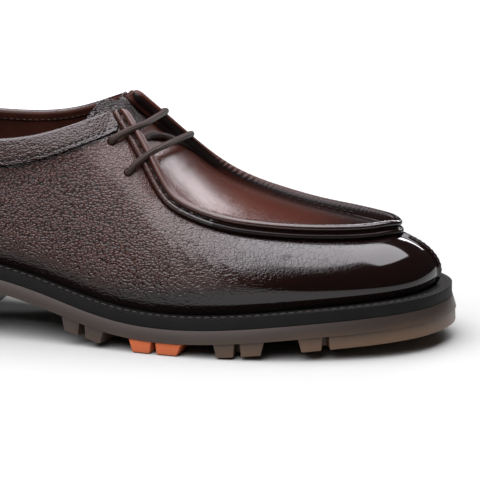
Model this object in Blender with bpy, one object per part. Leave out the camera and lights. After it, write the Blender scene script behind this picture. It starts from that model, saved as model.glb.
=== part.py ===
"""Right lace-up shoe: raised apron with a split toe, two pairs of lace holes and a lugged rubber sole.

Sizes are millimetres and the meshes are metres. The toe points along +X, the outer (lateral) side of
the foot faces -Y, and the shoe stands on z = 0 with the origin under the middle of its sole.

A station counts sections round the sole: 0 is the toe seam and 14 the middle of the heel. It is
positive along the lateral side and negative along the medial side.
"""

from collections import namedtuple

import bmesh
import bpy
import numpy as np

MM = 0.001
GAP = 0.3

# Driving thicknesses of the pieces
WELT_THICKNESS = 5.3
OUTSOLE_THICKNESS = 6.0
LUG_HEIGHT = 6.3
INSOLE_THICKNESS = 2.6
UPPER_WALL = 2.0
TONGUE_WALL = 1.9
BAND_WALL = 1.3
LACE_RADIUS = 1.55
LACE_HOLE_RADIUS = 2.1

# How far the rubber stands out past the welt, at its top and at its tread
OUTSOLE_TOP_FLARE = 0.3
OUTSOLE_TREAD_FLARE = 2.1

HEEL_STATION = 14
STATIONS_ROUND = 2 * HEEL_STATION
FACING_TOP = 8.3
THROAT_BASE = 7.15

# How far along the top edge its corner at the facing is rounded in the wall, and how fast that fades
CORNER_REACH = 0.6
CORNER_FADE = 5

# Outline of the welt seen from above, a row for each station from the toe to the heel
Outline = namedtuple("Outline", "x lateral medial")
OUTLINE = [
    Outline(303.5, 4.0, 4.0),
    Outline(299.5, -14.0, 20.0),
    Outline(290.0, -28.0, 32.5),
    Outline(275.0, -39.0, 42.5),
    Outline(255.0, -47.5, 49.5),
    Outline(230.0, -53.8, 53.0),
    Outline(205.0, -56.0, 52.5),
    Outline(180.0, -54.5, 47.5),
    Outline(150.0, -49.5, 39.5),
    Outline(115.0, -42.5, 34.5),
    Outline(80.0, -39.8, 36.5),
    Outline(50.0, -39.5, 37.5),
    Outline(25.0, -33.5, 32.0),
    Outline(8.0, -19.0, 18.5),
    Outline(2.0, 0.0, 0.0),
]

# Height of the welt's upper face along the shoe: heel seat, waist, ball and toe spring
Profile = namedtuple("Profile", "x height")
PROFILE = [
    Profile(-10, 37.0),
    Profile(30, 37.0),
    Profile(62, 36.9),
    Profile(80, 36.0),
    Profile(98, 33.0),
    Profile(118, 28.2),
    Profile(139, 22.4),
    Profile(158, 18.6),
    Profile(178, 17.2),
    Profile(203, 18.1),
    Profile(240, 21.4),
    Profile(277, 24.1),
    Profile(315, 26.0),
]

# Crest of the raised apron seam, from the toe to the top of the lacing
Crest = namedtuple("Crest", "station lateral_x lateral_y lateral_z medial_x medial_y medial_z tilt")
CREST = [
    Crest(0.0, 278.0, 2.6, 55.4, 278.0, 2.6, 55.4, 0),
    Crest(1.0, 274.6, -4.2, 56.1, 274.8, 8.8, 56.2, 0),
    Crest(2.0, 266.8, -12.0, 56.1, 267.2, 15.6, 56.4, 0),
    Crest(3.0, 254.0, -20.6, 56.7, 254.5, 23.3, 56.8, 0),
    Crest(4.0, 236.0, -28.2, 57.9, 236.0, 30.4, 58.1, 0),
    Crest(5.0, 215.0, -34.5, 60.4, 215.5, 35.4, 61.7, 2),
    Crest(6.0, 196.0, -36.5, 64.6, 196.0, 36.4, 68.2, 6),
    Crest(6.6, 185.0, -35.7, 69.0, 185.5, 35.3, 74.4, 12),
    Crest(7.1, 178.0, -33.4, 75.2, 177.5, 32.5, 81.3, 20),
    Crest(7.6, 168.5, -27.5, 88.8, 167.0, 25.6, 92.3, 30),
    Crest(FACING_TOP, 154.5, -18.9, 106.7, 151.0, 16.6, 108.6, 38),
]

# Section of the seam, across its crest: the lip of the side wall, a groove, then the apron's rolled edge
Ridge = namedtuple("Ridge", "out up slant")
RIDGE = [
    Ridge(0.9, -6.7, 1.0),
    Ridge(2.6, -6.3, 1.0),
    Ridge(2.8, -4.6, 0.8),
    Ridge(1.2, -3.7, 0.6),
    Ridge(2.3, -1.8, 0.3),
    Ridge(0.6, 0.0, 0.0),
    Ridge(-1.8, -0.5, 0.0),
    Ridge(-3.2, -4.0, 0.0),
]

# How far the seam's lip runs on past its crest at the top of the facing, and where that starts
FACING_SLANT = 0.09
FACING_SLANT_START = 7.5

# Top line of the collar behind the lacing
Collar = namedtuple("Collar", "station lateral_x lateral_y lateral_z medial_x medial_y medial_z")
COLLAR = [
    Collar(8.75, 138.0, -25.8, 102.4, 136.0, 23.6, 103.8),
    Collar(9.4, 117.5, -30.8, 95.8, 117.0, 28.5, 97.2),
    Collar(10.0, 98.0, -33.0, 92.7, 97.0, 31.0, 94.4),
    Collar(10.6, 78.0, -32.8, 92.0, 78.0, 30.7, 94.6),
    Collar(11.3, 56.0, -30.2, 93.2, 56.0, 28.4, 95.6),
    Collar(12.2, 33.0, -22.8, 96.8, 33.0, 21.4, 98.4),
    Collar(13.2, 17.5, -10.5, 100.4, 17.5, 10.0, 100.9),
    Collar(14.0, 13.5, 0.0, 101.4, 13.5, 0.0, 101.4),
]

# Side wall of the last: inset of its foot from the welt's edge, then the two handles of its curve
Wall = namedtuple("Wall", "station ledge swell rise shoulder drop")
WALL = [
    Wall(0.0, 8.2, 6.0, 6.4, 17.5, 5.2),
    Wall(2.0, 8.2, 6.0, 7.0, 15.5, 5.6),
    Wall(4.0, 8.0, 6.0, 8.0, 13.0, 6.5),
    Wall(6.0, 7.5, 6.0, 9.0, 12.0, 8.0),
    Wall(7.1, 7.2, 6.0, 9.5, 12.5, 10.5),
    Wall(FACING_TOP, 7.0, 6.0, 10.0, 13.5, 14.0),
    Wall(9.2, 6.5, 6.0, 10.0, 9.0, 16.0),
    Wall(10.0, 6.0, 6.0, 10.0, 5.5, 18.0),
    Wall(12.0, 5.5, 6.3, 11.5, 6.0, 20.0),
    Wall(14.0, 5.5, 6.5, 12.0, 7.0, 22.0),
]

# Height that the apron swells between its two creases
Dome = namedtuple("Dome", "station height")
DOME = [
    Dome(0.0, 0.0),
    Dome(1.0, 0.4),
    Dome(3.0, 1.2),
    Dome(5.0, 2.4),
    Dome(6.6, 3.2),
    Dome(FACING_TOP, 3.0),
]

# The collar band, measured down from the top line; in front it stops short of the facing's lip
Band = namedtuple("Band", "station upper lower")
BAND = [
    Band(8.1, 1.2, 4.3),
    Band(FACING_TOP, 1.2, 13.7),
    Band(8.4, 0.0, 13.8),
    Band(8.8, 0.0, 14.1),
    Band(9.4, 0.0, 13.5),
    Band(11.0, 0.0, 13.9),
    Band(14.0, 0.0, 14.0),
]

# How far the tongue's top edge stands past the facings, from its flank to its middle
TongueTop = namedtuple("TongueTop", "across back up")
TONGUE_TOP = [
    TongueTop(0.0, 15.0, -5.0),
    TongueTop(0.18, 16.5, -1.0),
    TongueTop(0.5, 11.0, 2.0),
    TongueTop(0.82, 16.0, -0.5),
    TongueTop(1.0, 15.0, -5.0),
]

# Rows of the tongue past the facings: share of that reach, and how often its section is evened out
TONGUE_FREE_ROWS = ((0.3, 2), (0.65, 6), (1.0, 12))
TONGUE_CLEARANCE = 0.5
TONGUE_START = 6.75
TONGUE_FLANK = 0.88

# Lace holes: where they are along the seam and how far below its lip, and where the lace crosses the crest
LaceHole = namedtuple("LaceHole", "station below crossing")
LACE_HOLES = {
    ("lower", 1): LaceHole(7.74, 12.2, 7.58),
    ("lower", -1): LaceHole(7.45, 12.2, 7.29),
    ("upper", 1): LaceHole(8.16, 11.0, 7.95),
    ("upper", -1): LaceHole(8.01, 11.0, 7.8),
}

# Tread blocks along each edge: where they start and end on the floor, with a notch in the outer face
Lug = namedtuple("Lug", "back notch_back notch_front front depth")
WAIST_LUG = Lug(131.5, 138.5, 142.0, 149.5, 27.0)
ACCENT_LUG = Lug(165.5, 174.0, 177.2, 187.0, 27.0)
BALL_LUG = Lug(205.5, 213.2, 216.6, 225.5, 27.0)
TOE_LUG = Lug(243.5, 252.2, 255.8, None, 25.0)
NOTCH_DEPTH = 9.0
LUG_DRAFT = 2.0
LUG_BURIED = 1.5
MIDDLE_LUGS_X = (157.0, 196.0, 234.0)
MIDDLE_LUG_LENGTH = 13.0
MIDDLE_LUG_WIDTH = 22.0

# Heel block under the rubber
HEEL_BREAST_X = 78.0
HEEL_TOP_FLARE = 1.6
HEEL_FOOT_FLARE = 0.6
HEEL_GROOVE_X = (28.0, 52.0)
HEEL_GROOVE_WIDTH = 4.0
HEEL_GROOVE_REACH = 13.0
HEEL_RECESS = (24.0, 62.0, 17.0)
HEEL_RECESS_CORNER = 7.0

# Colour, roughness and metallic value of each material
MATERIALS = {
    "grain_leather": ((0.055, 0.022, 0.016, 1), 0.34, 0.0),
    "edge_leather": ((0.012, 0.011, 0.011, 1), 0.55, 0.0),
    "lining_leather": ((0.075, 0.030, 0.020, 1), 0.55, 0.0),
    "amber_rubber": ((0.085, 0.060, 0.045, 1), 0.42, 0.0),
    "accent_rubber": ((0.620, 0.150, 0.045, 1), 0.45, 0.0),
    "waxed_cord": ((0.040, 0.028, 0.022, 1), 0.60, 0.0),
}


def cubic(knots, rows):
    """A smooth curve through rows, as a function of the knot value (natural cubic spline)."""
    knots = np.asarray(knots, float)
    rows = np.asarray(rows, float).reshape(len(knots), -1)
    span = np.diff(knots)
    last = len(knots) - 1
    system = np.eye(last + 1)
    right = np.zeros_like(rows)
    for i in range(1, last):
        system[i, i - 1 : i + 2] = span[i - 1], 2 * (span[i - 1] + span[i]), span[i]
        after = (rows[i + 1] - rows[i]) / span[i]
        before = (rows[i] - rows[i - 1]) / span[i - 1]
        right[i] = 6 * (after - before)
    bend = np.linalg.solve(system, right)

    def at(knot):
        knot = np.asarray(knot, float)
        flat = knot.reshape(-1)
        i = np.clip(np.searchsorted(knots, flat, side="right") - 1, 0, last - 1)
        width = span[i][:, None]
        a = (knots[i + 1] - flat)[:, None] / width
        b = 1 - a
        bow = ((a**3 - a) * bend[i] + (b**3 - b) * bend[i + 1]) * width**2 / 6
        return (a * rows[i] + b * rows[i + 1] + bow).reshape(*knot.shape, -1)

    return at


def mirrored(rows, *columns):
    """A spline in the signed station of columns that are the same on both sides of the shoe."""
    stations = [row.station for row in rows]
    values = [[getattr(row, column) for column in columns] for row in rows]
    if stations[0] > 0:
        return cubic(stations, values)
    knots = [-s for s in stations[:0:-1]] + stations
    return cubic(knots, values[:0:-1] + values)


def two_sided(rows):
    """Signed stations and points of a table with a lateral and a medial column for each of x, y and z."""
    lateral = [(row.station, (row.lateral_x, row.lateral_y, row.lateral_z)) for row in rows]
    medial = [(-row.station, (row.medial_x, row.medial_y, row.medial_z)) for row in rows]
    return lateral, medial


def unit(vectors):
    return vectors / np.linalg.norm(vectors, axis=-1, keepdims=True)


def outline_spline():
    """The closed outline, with a few rows repeated past each end so that it joins smoothly."""
    lateral = [(row.x, row.lateral) for row in OUTLINE]
    medial = [(row.x, row.medial) for row in OUTLINE[-2:0:-1]]
    ring = lateral + medial
    lap = 6
    knots = np.arange(-lap, STATIONS_ROUND + lap + 1)
    return cubic(knots, [ring[k % STATIONS_ROUND] for k in knots])


OUTLINE_AT = outline_spline()
PROFILE_AT = cubic([row.x for row in PROFILE], [row.height for row in PROFILE])
WALL_AT = mirrored(WALL, "ledge", "swell", "rise", "shoulder", "drop")
TILT_AT = mirrored(CREST, "tilt")
DOME_AT = mirrored(DOME, "height")


def crest_spline():
    lateral, medial = two_sided(CREST)
    rows = medial[:0:-1] + lateral
    return cubic([knot for knot, _ in rows], [point for _, point in rows])


CREST_AT = crest_spline()


def signed(station):
    """The station as -14 to 14, also when it was counted on past the heel."""
    return (np.asarray(station, float) + HEEL_STATION) % STATIONS_ROUND - HEEL_STATION


def sole_height(x):
    return PROFILE_AT(x)[..., 0]


def outline(station, offset=0.0):
    """Points and outward directions of the welt's outline, moved outward by offset."""
    turn = np.asarray(station, float) % STATIONS_ROUND
    step = 0.01
    tangent = unit(OUTLINE_AT(turn + step) - OUTLINE_AT(turn - step))
    outward = np.stack([-tangent[..., 1], tangent[..., 0]], -1)
    return OUTLINE_AT(turn) + outward * np.asarray(offset, float)[..., None], outward


def station_at(x, side):
    """The station where the outline has this x. side is 1 on the lateral side and -1 on the medial."""
    stations = np.linspace(0, HEEL_STATION, 1401)
    xs = outline(side * stations)[0][:, 0]
    return side * float(np.interp(-x, -xs, stations))


def ridge(station):
    """The raised seam's section at each station: points across it, and its outward and upward axes."""
    station = np.asarray(station, float)
    step = 0.01
    along = unit(CREST_AT(station + step) - CREST_AT(station - step))
    level = np.stack([-along[..., 1], along[..., 0], np.zeros_like(station)], -1)
    level = unit(level)
    upright = np.cross(along, level)
    tilt = np.radians(TILT_AT(station))
    out = level * np.cos(tilt) + upright * np.sin(tilt)
    up = upright * np.cos(tilt) - level * np.sin(tilt)
    reach = np.clip((np.abs(station) - FACING_SLANT_START) / (FACING_TOP - FACING_SLANT_START), 0, 1) ** 2
    past = np.sign(station) * reach * FACING_SLANT
    rows = [CREST_AT(station + past * row.slant) + out * row.out + up * row.up for row in RIDGE]
    return np.stack(rows, -2), out, up


def collar_spline():
    """The top line from the lateral facing round the heel to the medial one, starting at the seam's lip."""
    lateral, medial = two_sided(COLLAR)
    corner_lateral = ridge(np.array([FACING_TOP]))[0][0, 0]
    corner_medial = ridge(np.array([-FACING_TOP]))[0][0, 0]
    rows = [(FACING_TOP, corner_lateral)] + lateral
    rows += [(STATIONS_ROUND + knot, point) for knot, point in medial[-2::-1]]
    rows.append((STATIONS_ROUND - FACING_TOP, corner_medial))
    return cubic([knot for knot, _ in rows], [point for _, point in rows])


COLLAR_AT = collar_spline()


def wall_top(station):
    """The side wall's upper edge: the seam's lip in front of the lacing, and the collar behind it."""
    turn = signed(station)
    in_front = np.abs(turn) <= FACING_TOP
    front = ridge(np.clip(turn, -FACING_TOP, FACING_TOP))[0][..., 0, :]
    behind = COLLAR_AT(np.clip(turn % STATIONS_ROUND, FACING_TOP, STATIONS_ROUND - FACING_TOP))
    return np.where(in_front[..., None], front, behind)


def body_top_spline():
    """The wall's top edge with its corners at the facings rounded, which shapes the wall below them."""
    front = [row.station for row in CREST if row.station < FACING_TOP - CORNER_REACH]
    behind = [row.station for row in COLLAR if row.station > FACING_TOP + CORNER_REACH]
    side = front + behind
    ring = side + [STATIONS_ROUND - knot for knot in side[-2:0:-1]]
    lap = 6
    knots = [knot - STATIONS_ROUND for knot in ring[-lap:]] + ring
    knots += [knot + STATIONS_ROUND for knot in ring[:lap]]
    return cubic(knots, wall_top(np.array(knots)))


BODY_TOP_AT = body_top_spline()


def wall(station, height):
    """The outer surface of the side wall. height runs from 0 at the welt to 1 at the top edge."""
    station, height = np.broadcast_arrays(np.asarray(station, float), np.asarray(height, float))
    shape = WALL_AT(np.abs(signed(station)))
    ledge, swell, rise, shoulder, drop = np.moveaxis(shape, -1, 0)
    plan, outward = outline(station, -ledge)
    foot = np.concatenate([plan, (sole_height(plan[..., 0]) + GAP)[..., None]], -1)
    outward = np.concatenate([outward, np.zeros_like(foot[..., :1])], -1)
    upward = np.array([0.0, 0.0, 1.0])
    body_top = BODY_TOP_AT(station % STATIONS_ROUND)
    low = foot + outward * swell[..., None] + upward * rise[..., None]
    high = body_top + outward * shoulder[..., None] - upward * drop[..., None]
    t = height[..., None]
    body = foot * (1 - t) ** 3 + 3 * low * t * (1 - t) ** 2 + 3 * high * t**2 * (1 - t) + body_top * t**3
    return body + (wall_top(station) - body_top) * t**CORNER_FADE


def wall_normal(station, height):
    step = 0.004
    along = wall(station + step, height) - wall(station - step, height)
    rise = wall(station, height + step) - wall(station, height - step)
    return unit(np.cross(rise, along))


def wall_inside(station, height, depth):
    return wall(station, height) - wall_normal(station, height) * depth


def apron(station, across):
    """The apron between its two creases. across runs from 0 on the lateral side to 1 on the medial."""
    lateral = ridge(station)[0][..., -1, :]
    medial = ridge(-station)[0][..., -1, :]
    share = np.asarray(across, float)[..., None]
    swell = DOME_AT(station) * 4 * share * (1 - share)
    return lateral * (1 - share) + medial * share + swell * np.array([0.0, 0.0, 1.0])


def apron_inside(station, across, depth):
    step = 0.01
    along = apron(station + step, across) - apron(station - step, across)
    sideways = apron(station, across + step) - apron(station, across - step)
    normal = unit(np.cross(along, sideways))
    normal *= np.sign(normal[..., 2:])
    return apron(station, across) - normal * depth


def origin():
    """The middle of the tread's box, which is the part's origin on the floor."""
    edge = outline(np.linspace(0, STATIONS_ROUND, 2801), OUTSOLE_TREAD_FLARE)[0]
    return np.append((edge.min(0) + edge.max(0)) / 2, 0.0)


ORIGIN = origin()


def material(name):
    found = bpy.data.materials.get(name)
    if found:
        return found
    colour, roughness, metallic = MATERIALS[name]
    made = bpy.data.materials.new(name)
    made.use_nodes = True
    shader = made.node_tree.nodes["Principled BSDF"]
    shader.inputs["Base Color"].default_value = colour
    shader.inputs["Roughness"].default_value = roughness
    shader.inputs["Metallic"].default_value = metallic
    made.diffuse_color = colour
    return made


def add_object(name, points, faces, finish):
    """A closed mesh object from points in shoe millimetres, with its faces turned outward."""
    points = (np.asarray(points, float) - ORIGIN) * MM
    mesh = bpy.data.meshes.new(name)
    mesh.from_pydata([tuple(p) for p in points], [], [tuple(f) for f in faces])
    shaped = bmesh.new()
    shaped.from_mesh(mesh)
    if shaped.calc_volume(signed=True) < 0:
        bmesh.ops.reverse_faces(shaped, faces=shaped.faces)
    shaped.to_mesh(mesh)
    shaped.free()
    mesh.shade_smooth()
    mesh.set_sharp_from_angle(angle=np.radians(40))
    mesh.materials.append(material(finish))
    made = bpy.data.objects.new(name, mesh)
    bpy.context.scene.collection.objects.link(made)
    return made


def thick(outer, inner, faces):
    """Points and faces of the closed solid between two like sheets, joined round every open edge."""
    count = len(outer)
    used = {(f[i - 1], f[i]) for f in faces for i in range(len(f))}
    rim = [(a, b) for a, b in used if (b, a) not in used]
    sides = [(b, a, a + count, b + count) for a, b in sorted(rim)]
    back = [tuple(i + count for i in reversed(f)) for f in faces]
    return np.concatenate([outer, inner]), list(faces) + back + sides


def grid_faces(rows, columns):
    """Quads of a grid whose points are stored row after row."""
    at = np.arange(rows * columns).reshape(rows, columns)
    quads = np.stack([at[:-1, :-1], at[1:, :-1], at[1:, 1:], at[:-1, 1:]], -1)
    return [tuple(int(i) for i in q) for q in quads.reshape(-1, 4)]


def spaced(*spans):
    """Station values from (start, end, steps) spans, each span's end being the next one's start."""
    parts = [np.linspace(start, end, steps, endpoint=False) for start, end, steps in spans]
    return np.append(np.concatenate(parts), spans[-1][1])


FRONT = spaced((0, 2, 7), (2, 6, 9), (6, THROAT_BASE, 6), (THROAT_BASE, FACING_TOP, 6))
REAR = spaced((FACING_TOP, 9.4, 5), (9.4, HEEL_STATION, 12))
WALL_ROWS = np.linspace(0, 1, 8)
APRON_COLUMNS = np.linspace(0, 1, 9)


class Sheet:
    """Points of an open sheet with an inner twin of each, and faces that refer to them by key."""

    def __init__(self):
        self.index = {}
        self.outer = []
        self.inner = []
        self.faces = []

    def add(self, key, outer, inner):
        self.index[key] = len(self.outer)
        self.outer.append(outer)
        self.inner.append(inner)

    def face(self, *keys):
        corners = []
        for key in keys:
            if not corners or self.index[key] != corners[-1]:
                corners.append(self.index[key])
        if corners[0] == corners[-1]:
            corners.pop()
        if len(corners) > 2:
            self.faces.append(tuple(corners))


def upper_sheet():
    """Side wall, raised seam and apron as one sheet, open at collar, throat and underneath."""
    sheet = Sheet()
    front = np.concatenate([-FRONT[:0:-1], FRONT])
    rear = np.concatenate([REAR, STATIONS_ROUND - REAR[-2::-1]])
    ring = np.concatenate([front, rear[1:-1]])
    grid = np.meshgrid(ring, WALL_ROWS, indexing="ij")
    walls = wall(*grid)
    lining = wall_inside(*grid, UPPER_WALL)
    lining[:, 0, 2] = walls[:, 0, 2] + 0.4
    for i in range(len(ring)):
        for j in range(len(WALL_ROWS)):
            sheet.add(("wall", i, j), walls[i, j], lining[i, j])
    for i in range(len(ring)):
        after = (i + 1) % len(ring)
        for j in range(len(WALL_ROWS) - 1):
            sheet.face(("wall", i, j), ("wall", after, j), ("wall", after, j + 1), ("wall", i, j + 1))

    sections, _, up = ridge(front)
    middle = len(FRONT) - 1
    last_row = len(RIDGE) - 1
    crease_depth = up * UPPER_WALL
    in_apron = np.abs(front) <= THROAT_BASE
    for i, station in enumerate(front):
        crease_inside = sections[i, -1] - crease_depth[i]
        sheet.index["ridge", i, 0] = sheet.index["wall", i, len(WALL_ROWS) - 1]
        for k in range(1, len(RIDGE)):
            share = k / last_row
            under = lining[i, -1] * (1 - share) + crease_inside * share
            sheet.add(("ridge", i, k), sections[i, k], under)
    for i in range(len(front) - 1):
        for k in range(last_row):
            sheet.face(("ridge", i, k), ("ridge", i + 1, k), ("ridge", i + 1, k + 1), ("ridge", i, k + 1))

    apron_rows = [i for i in range(middle, len(front)) if in_apron[i]]
    last_column = len(APRON_COLUMNS) - 1
    for i in apron_rows:
        twin = 2 * middle - i
        for c in range(last_column + 1):
            if c in (0, last_column) or i == middle:
                end = i if c < last_column else twin
                sheet.index["apron", i, c] = sheet.index["ridge", end, last_row]
                continue
            spot = np.array([front[i]]), APRON_COLUMNS[c : c + 1]
            sheet.add(("apron", i, c), apron(*spot)[0], apron_inside(*spot, UPPER_WALL)[0])
    for i in apron_rows[:-1]:
        for c in range(last_column):
            sheet.face(("apron", i, c), ("apron", i + 1, c), ("apron", i + 1, c + 1), ("apron", i, c + 1))
    return sheet


def wall_height_below(station, below):
    """The wall height that lies this far below its top edge, measured along the surface."""
    heights = np.linspace(0, 1, 101)
    points = wall(np.full_like(heights, station), heights)
    lengths = np.append(0, np.cumsum(np.linalg.norm(np.diff(points, axis=0), axis=1)))
    return float(np.interp(lengths[-1] - below, lengths, heights))


def lace_hole(name, side):
    """Middle of a lace hole on the wall's outer face, and the direction that it is punched along."""
    hole = LACE_HOLES[name, side]
    station = np.array([side * hole.station])
    height = np.array([wall_height_below(station[0], hole.below)])
    return wall(station, height)[0], wall_normal(station, height)[0]


def round_bar(points, radius, sides=12):
    """Points and faces of a capped straight bar."""
    start, end = np.asarray(points, float)
    axis = unit(end - start)
    side = unit(np.cross(axis, [0.31, 0.72, 0.62]))
    other = np.cross(axis, side)
    angles = np.arange(sides) * 2 * np.pi / sides
    ring = radius * (np.cos(angles)[:, None] * side + np.sin(angles)[:, None] * other)
    corners = np.concatenate([start + ring, end + ring])
    faces = [(i, (i + 1) % sides, sides + (i + 1) % sides, sides + i) for i in range(sides)]
    faces += [tuple(range(sides))[::-1], tuple(range(sides, 2 * sides))]
    return corners, faces


def merged(shapes):
    """Several shapes' points and faces as one list of each."""
    points, faces = [], []
    for shape_points, shape_faces in shapes:
        shift = sum(len(p) for p in points)
        points.append(np.asarray(shape_points, float))
        faces += [tuple(i + shift for i in f) for f in shape_faces]
    return np.concatenate(points), faces


def add_boolean(target, helper, operation):
    helper.hide_render = True
    helper.display_type = "WIRE"
    modifier = target.modifiers.new(helper.name, "BOOLEAN")
    modifier.operation = operation
    modifier.solver = "EXACT"
    modifier.object = helper


def build_upper():
    sheet = upper_sheet()
    shell = thick(np.array(sheet.outer), np.array(sheet.inner), sheet.faces)
    upper = add_object("upper", *shell, "grain_leather")
    punches = []
    reach = 3 * UPPER_WALL
    for name, side in LACE_HOLES:
        middle, normal = lace_hole(name, side)
        punches.append(round_bar([middle - normal * reach, middle + normal * reach], LACE_HOLE_RADIUS))
    add_boolean(upper, add_object("lace_hole_punches", *merged(punches), "grain_leather"), "DIFFERENCE")
    return upper


def plan_sheet(stations, across, offset, height):
    """A sheet that fills the outline with rows from edge to edge, at a height that follows x."""
    edge_lateral = outline(stations, offset)[0]
    edge_medial = outline(-stations, offset)[0]
    share = np.linspace(0, 1, across + 1)[None, :, None]
    plan = edge_lateral[:, None] * (1 - share) + edge_medial[:, None] * share
    return np.concatenate([plan, height(plan[..., 0])[..., None]], -1)


def plate(stations, across, low, high):
    """The closed solid between two plan sheets, each given as (offset, height function)."""
    sheet = Sheet()
    top = plan_sheet(stations, across, *high)
    bottom = plan_sheet(stations, across, *low)
    for i, station in enumerate(stations):
        point_row = station in (0, HEEL_STATION)
        for c in range(across + 1):
            if point_row and c:
                sheet.index["plan", i, c] = sheet.index["plan", i, 0]
            else:
                sheet.add(("plan", i, c), top[i, c], bottom[i, c])
    for i in range(len(stations) - 1):
        for c in range(across):
            sheet.face(("plan", i, c), ("plan", i + 1, c), ("plan", i + 1, c + 1), ("plan", i, c + 1))
    return thick(np.array(sheet.outer), np.array(sheet.inner), sheet.faces)


SOLE_STATIONS = spaced((0, 2, 8), (2, 11, 22), (11, HEEL_STATION, 9))
OUTSOLE_DROP = WELT_THICKNESS + GAP
TREAD_DROP = OUTSOLE_DROP + OUTSOLE_THICKNESS


def build_welt():
    edges = (0.0, lambda x: sole_height(x) - WELT_THICKNESS), (0.0, sole_height)
    return add_object("welt", *plate(SOLE_STATIONS, 6, *edges), "edge_leather")


def build_insole():
    ledge = float(np.mean([row.ledge for row in WALL])) + UPPER_WALL + 1.2
    low = -ledge, lambda x: sole_height(x) + GAP
    high = -ledge, lambda x: sole_height(x) + GAP + INSOLE_THICKNESS
    return add_object("insole", *plate(SOLE_STATIONS, 4, low, high), "lining_leather")


def tread_height(x):
    """Height of the tread's lowest faces: flat on the floor under the ball, rising to waist and toe."""
    return np.maximum(sole_height(x) - TREAD_DROP - LUG_HEIGHT, 0.0)


def lug_shape(edges, insides):
    """A tread block between matched rows of plan points, each given as its foot and its larger root."""
    layers = []
    for plan in (edges[1], insides[1]):
        layers.append(np.c_[plan, sole_height(plan[:, 0]) - TREAD_DROP + LUG_BURIED])
    for plan in (insides[0], edges[0]):
        layers.append(np.c_[plan, tread_height(plan[:, 0])])
    count = len(edges[0])
    around = np.arange(4 * count).reshape(4, count)
    faces = [tuple(around[:, 0]), tuple(around[::-1, -1])]
    for a, b in zip(around, np.roll(around, -1, axis=0)):
        faces += [(a[i], a[i + 1], b[i + 1], b[i]) for i in range(count - 1)]
    return np.concatenate(layers), [tuple(int(i) for i in f) for f in faces]


def notched_rows(stations, notches, depth, flare):
    """Plan points along the outline, stepping in at each notch, and the points inside them."""
    edge, inside = [], []
    for station in stations:
        inset = any(min(n) < station < max(n) for n in notches)
        edge.append(outline(station, flare - (NOTCH_DEPTH if inset else 0.0))[0])
        inside.append(outline(station, -depth)[0])
    return np.array(edge), np.array(inside)


def notch_run(lug, side, draft):
    """A block's stations along one side, from its back to just past its notch, and the notch's two ends."""
    back = station_at(lug.back - draft, side)
    slack = 0.4 * draft
    notch = [station_at(lug.notch_back + slack, side), station_at(lug.notch_front - slack, side)]
    lean = 0.004 * side
    return [back, notch[0] + lean, notch[0] - lean, notch[1] + lean, notch[1] - lean], notch


LUG_LEVELS = ((0.0, OUTSOLE_TREAD_FLARE - 0.2), (LUG_DRAFT, OUTSOLE_TREAD_FLARE - 0.5))


def edge_lug(lug, side):
    """A block along one edge of the sole."""
    edges, insides = [], []
    for draft, flare in LUG_LEVELS:
        run, notch = notch_run(lug, side, draft)
        run.append(station_at(lug.front + draft, side))
        edge, inside = notched_rows(run, [notch], lug.depth + draft, flare)
        edges.append(edge)
        insides.append(inside)
    return lug_shape(edges, insides)


def toe_lug():
    """The block that runs round the toe from one side to the other, notched once on each side."""
    edges, insides = [], []
    for draft, flare in LUG_LEVELS:
        lateral, lateral_notch = notch_run(TOE_LUG, 1, draft)
        medial, medial_notch = notch_run(TOE_LUG, -1, draft)
        run = np.concatenate([lateral, np.linspace(3.2, -3.2, 17), medial[::-1]])
        edge, inside = notched_rows(run, [lateral_notch, medial_notch], TOE_LUG.depth + draft, flare)
        edges.append(edge)
        insides.append(inside)
    return lug_shape(edges, insides)


def middle_lug(x):
    """A block on the sole's middle line, between the blocks of its edges."""
    lateral = outline(station_at(x, 1))[0]
    medial = outline(station_at(x, -1))[0]
    centre = np.array([x, (lateral[1] + medial[1]) / 2])
    polygons = []
    for draft in (0.0, LUG_DRAFT):
        half_length = MIDDLE_LUG_LENGTH / 2 + draft
        half_width = MIDDLE_LUG_WIDTH / 2 + draft
        side = half_width * 0.55
        lengths = [-half_length, 0, half_length, half_length, 0, -half_length]
        widths = [-side, -half_width, -side, side, half_width, side]
        polygons.append(centre + np.c_[lengths, widths])
    halves = [polygon[:3] for polygon in polygons]
    others = [polygon[:2:-1] for polygon in polygons]
    return lug_shape(halves, others)


def build_outsole():
    low = OUTSOLE_TREAD_FLARE, lambda x: sole_height(x) - TREAD_DROP
    high = OUTSOLE_TOP_FLARE, lambda x: sole_height(x) - OUTSOLE_DROP
    outsole = add_object("outsole", *plate(SOLE_STATIONS, 6, low, high), "amber_rubber")
    blocks = [edge_lug(lug, side) for lug in (WAIST_LUG, BALL_LUG) for side in (1, -1)]
    blocks += [middle_lug(x) for x in MIDDLE_LUGS_X]
    blocks.append(toe_lug())
    add_boolean(outsole, add_object("tread_blocks", *merged(blocks), "amber_rubber"), "UNION")
    return outsole


def build_accent_lug(name, side):
    """A block of the second rubber colour, standing just under the outsole."""
    points, faces = edge_lug(ACCENT_LUG, side)
    half = len(points) // 2
    points[:half, 2] -= LUG_BURIED + GAP
    return add_object(name, points, faces, "accent_rubber")


def box(low, high):
    """Points and faces of a box between two corners."""
    corners = [[(low, high)[i >> k & 1][k] for k in range(3)] for i in range(8)]
    faces = [(0, 2, 3, 1), (4, 5, 7, 6), (0, 1, 5, 4), (2, 6, 7, 3), (0, 4, 6, 2), (1, 3, 7, 5)]
    return np.array(corners, float), faces


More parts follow.
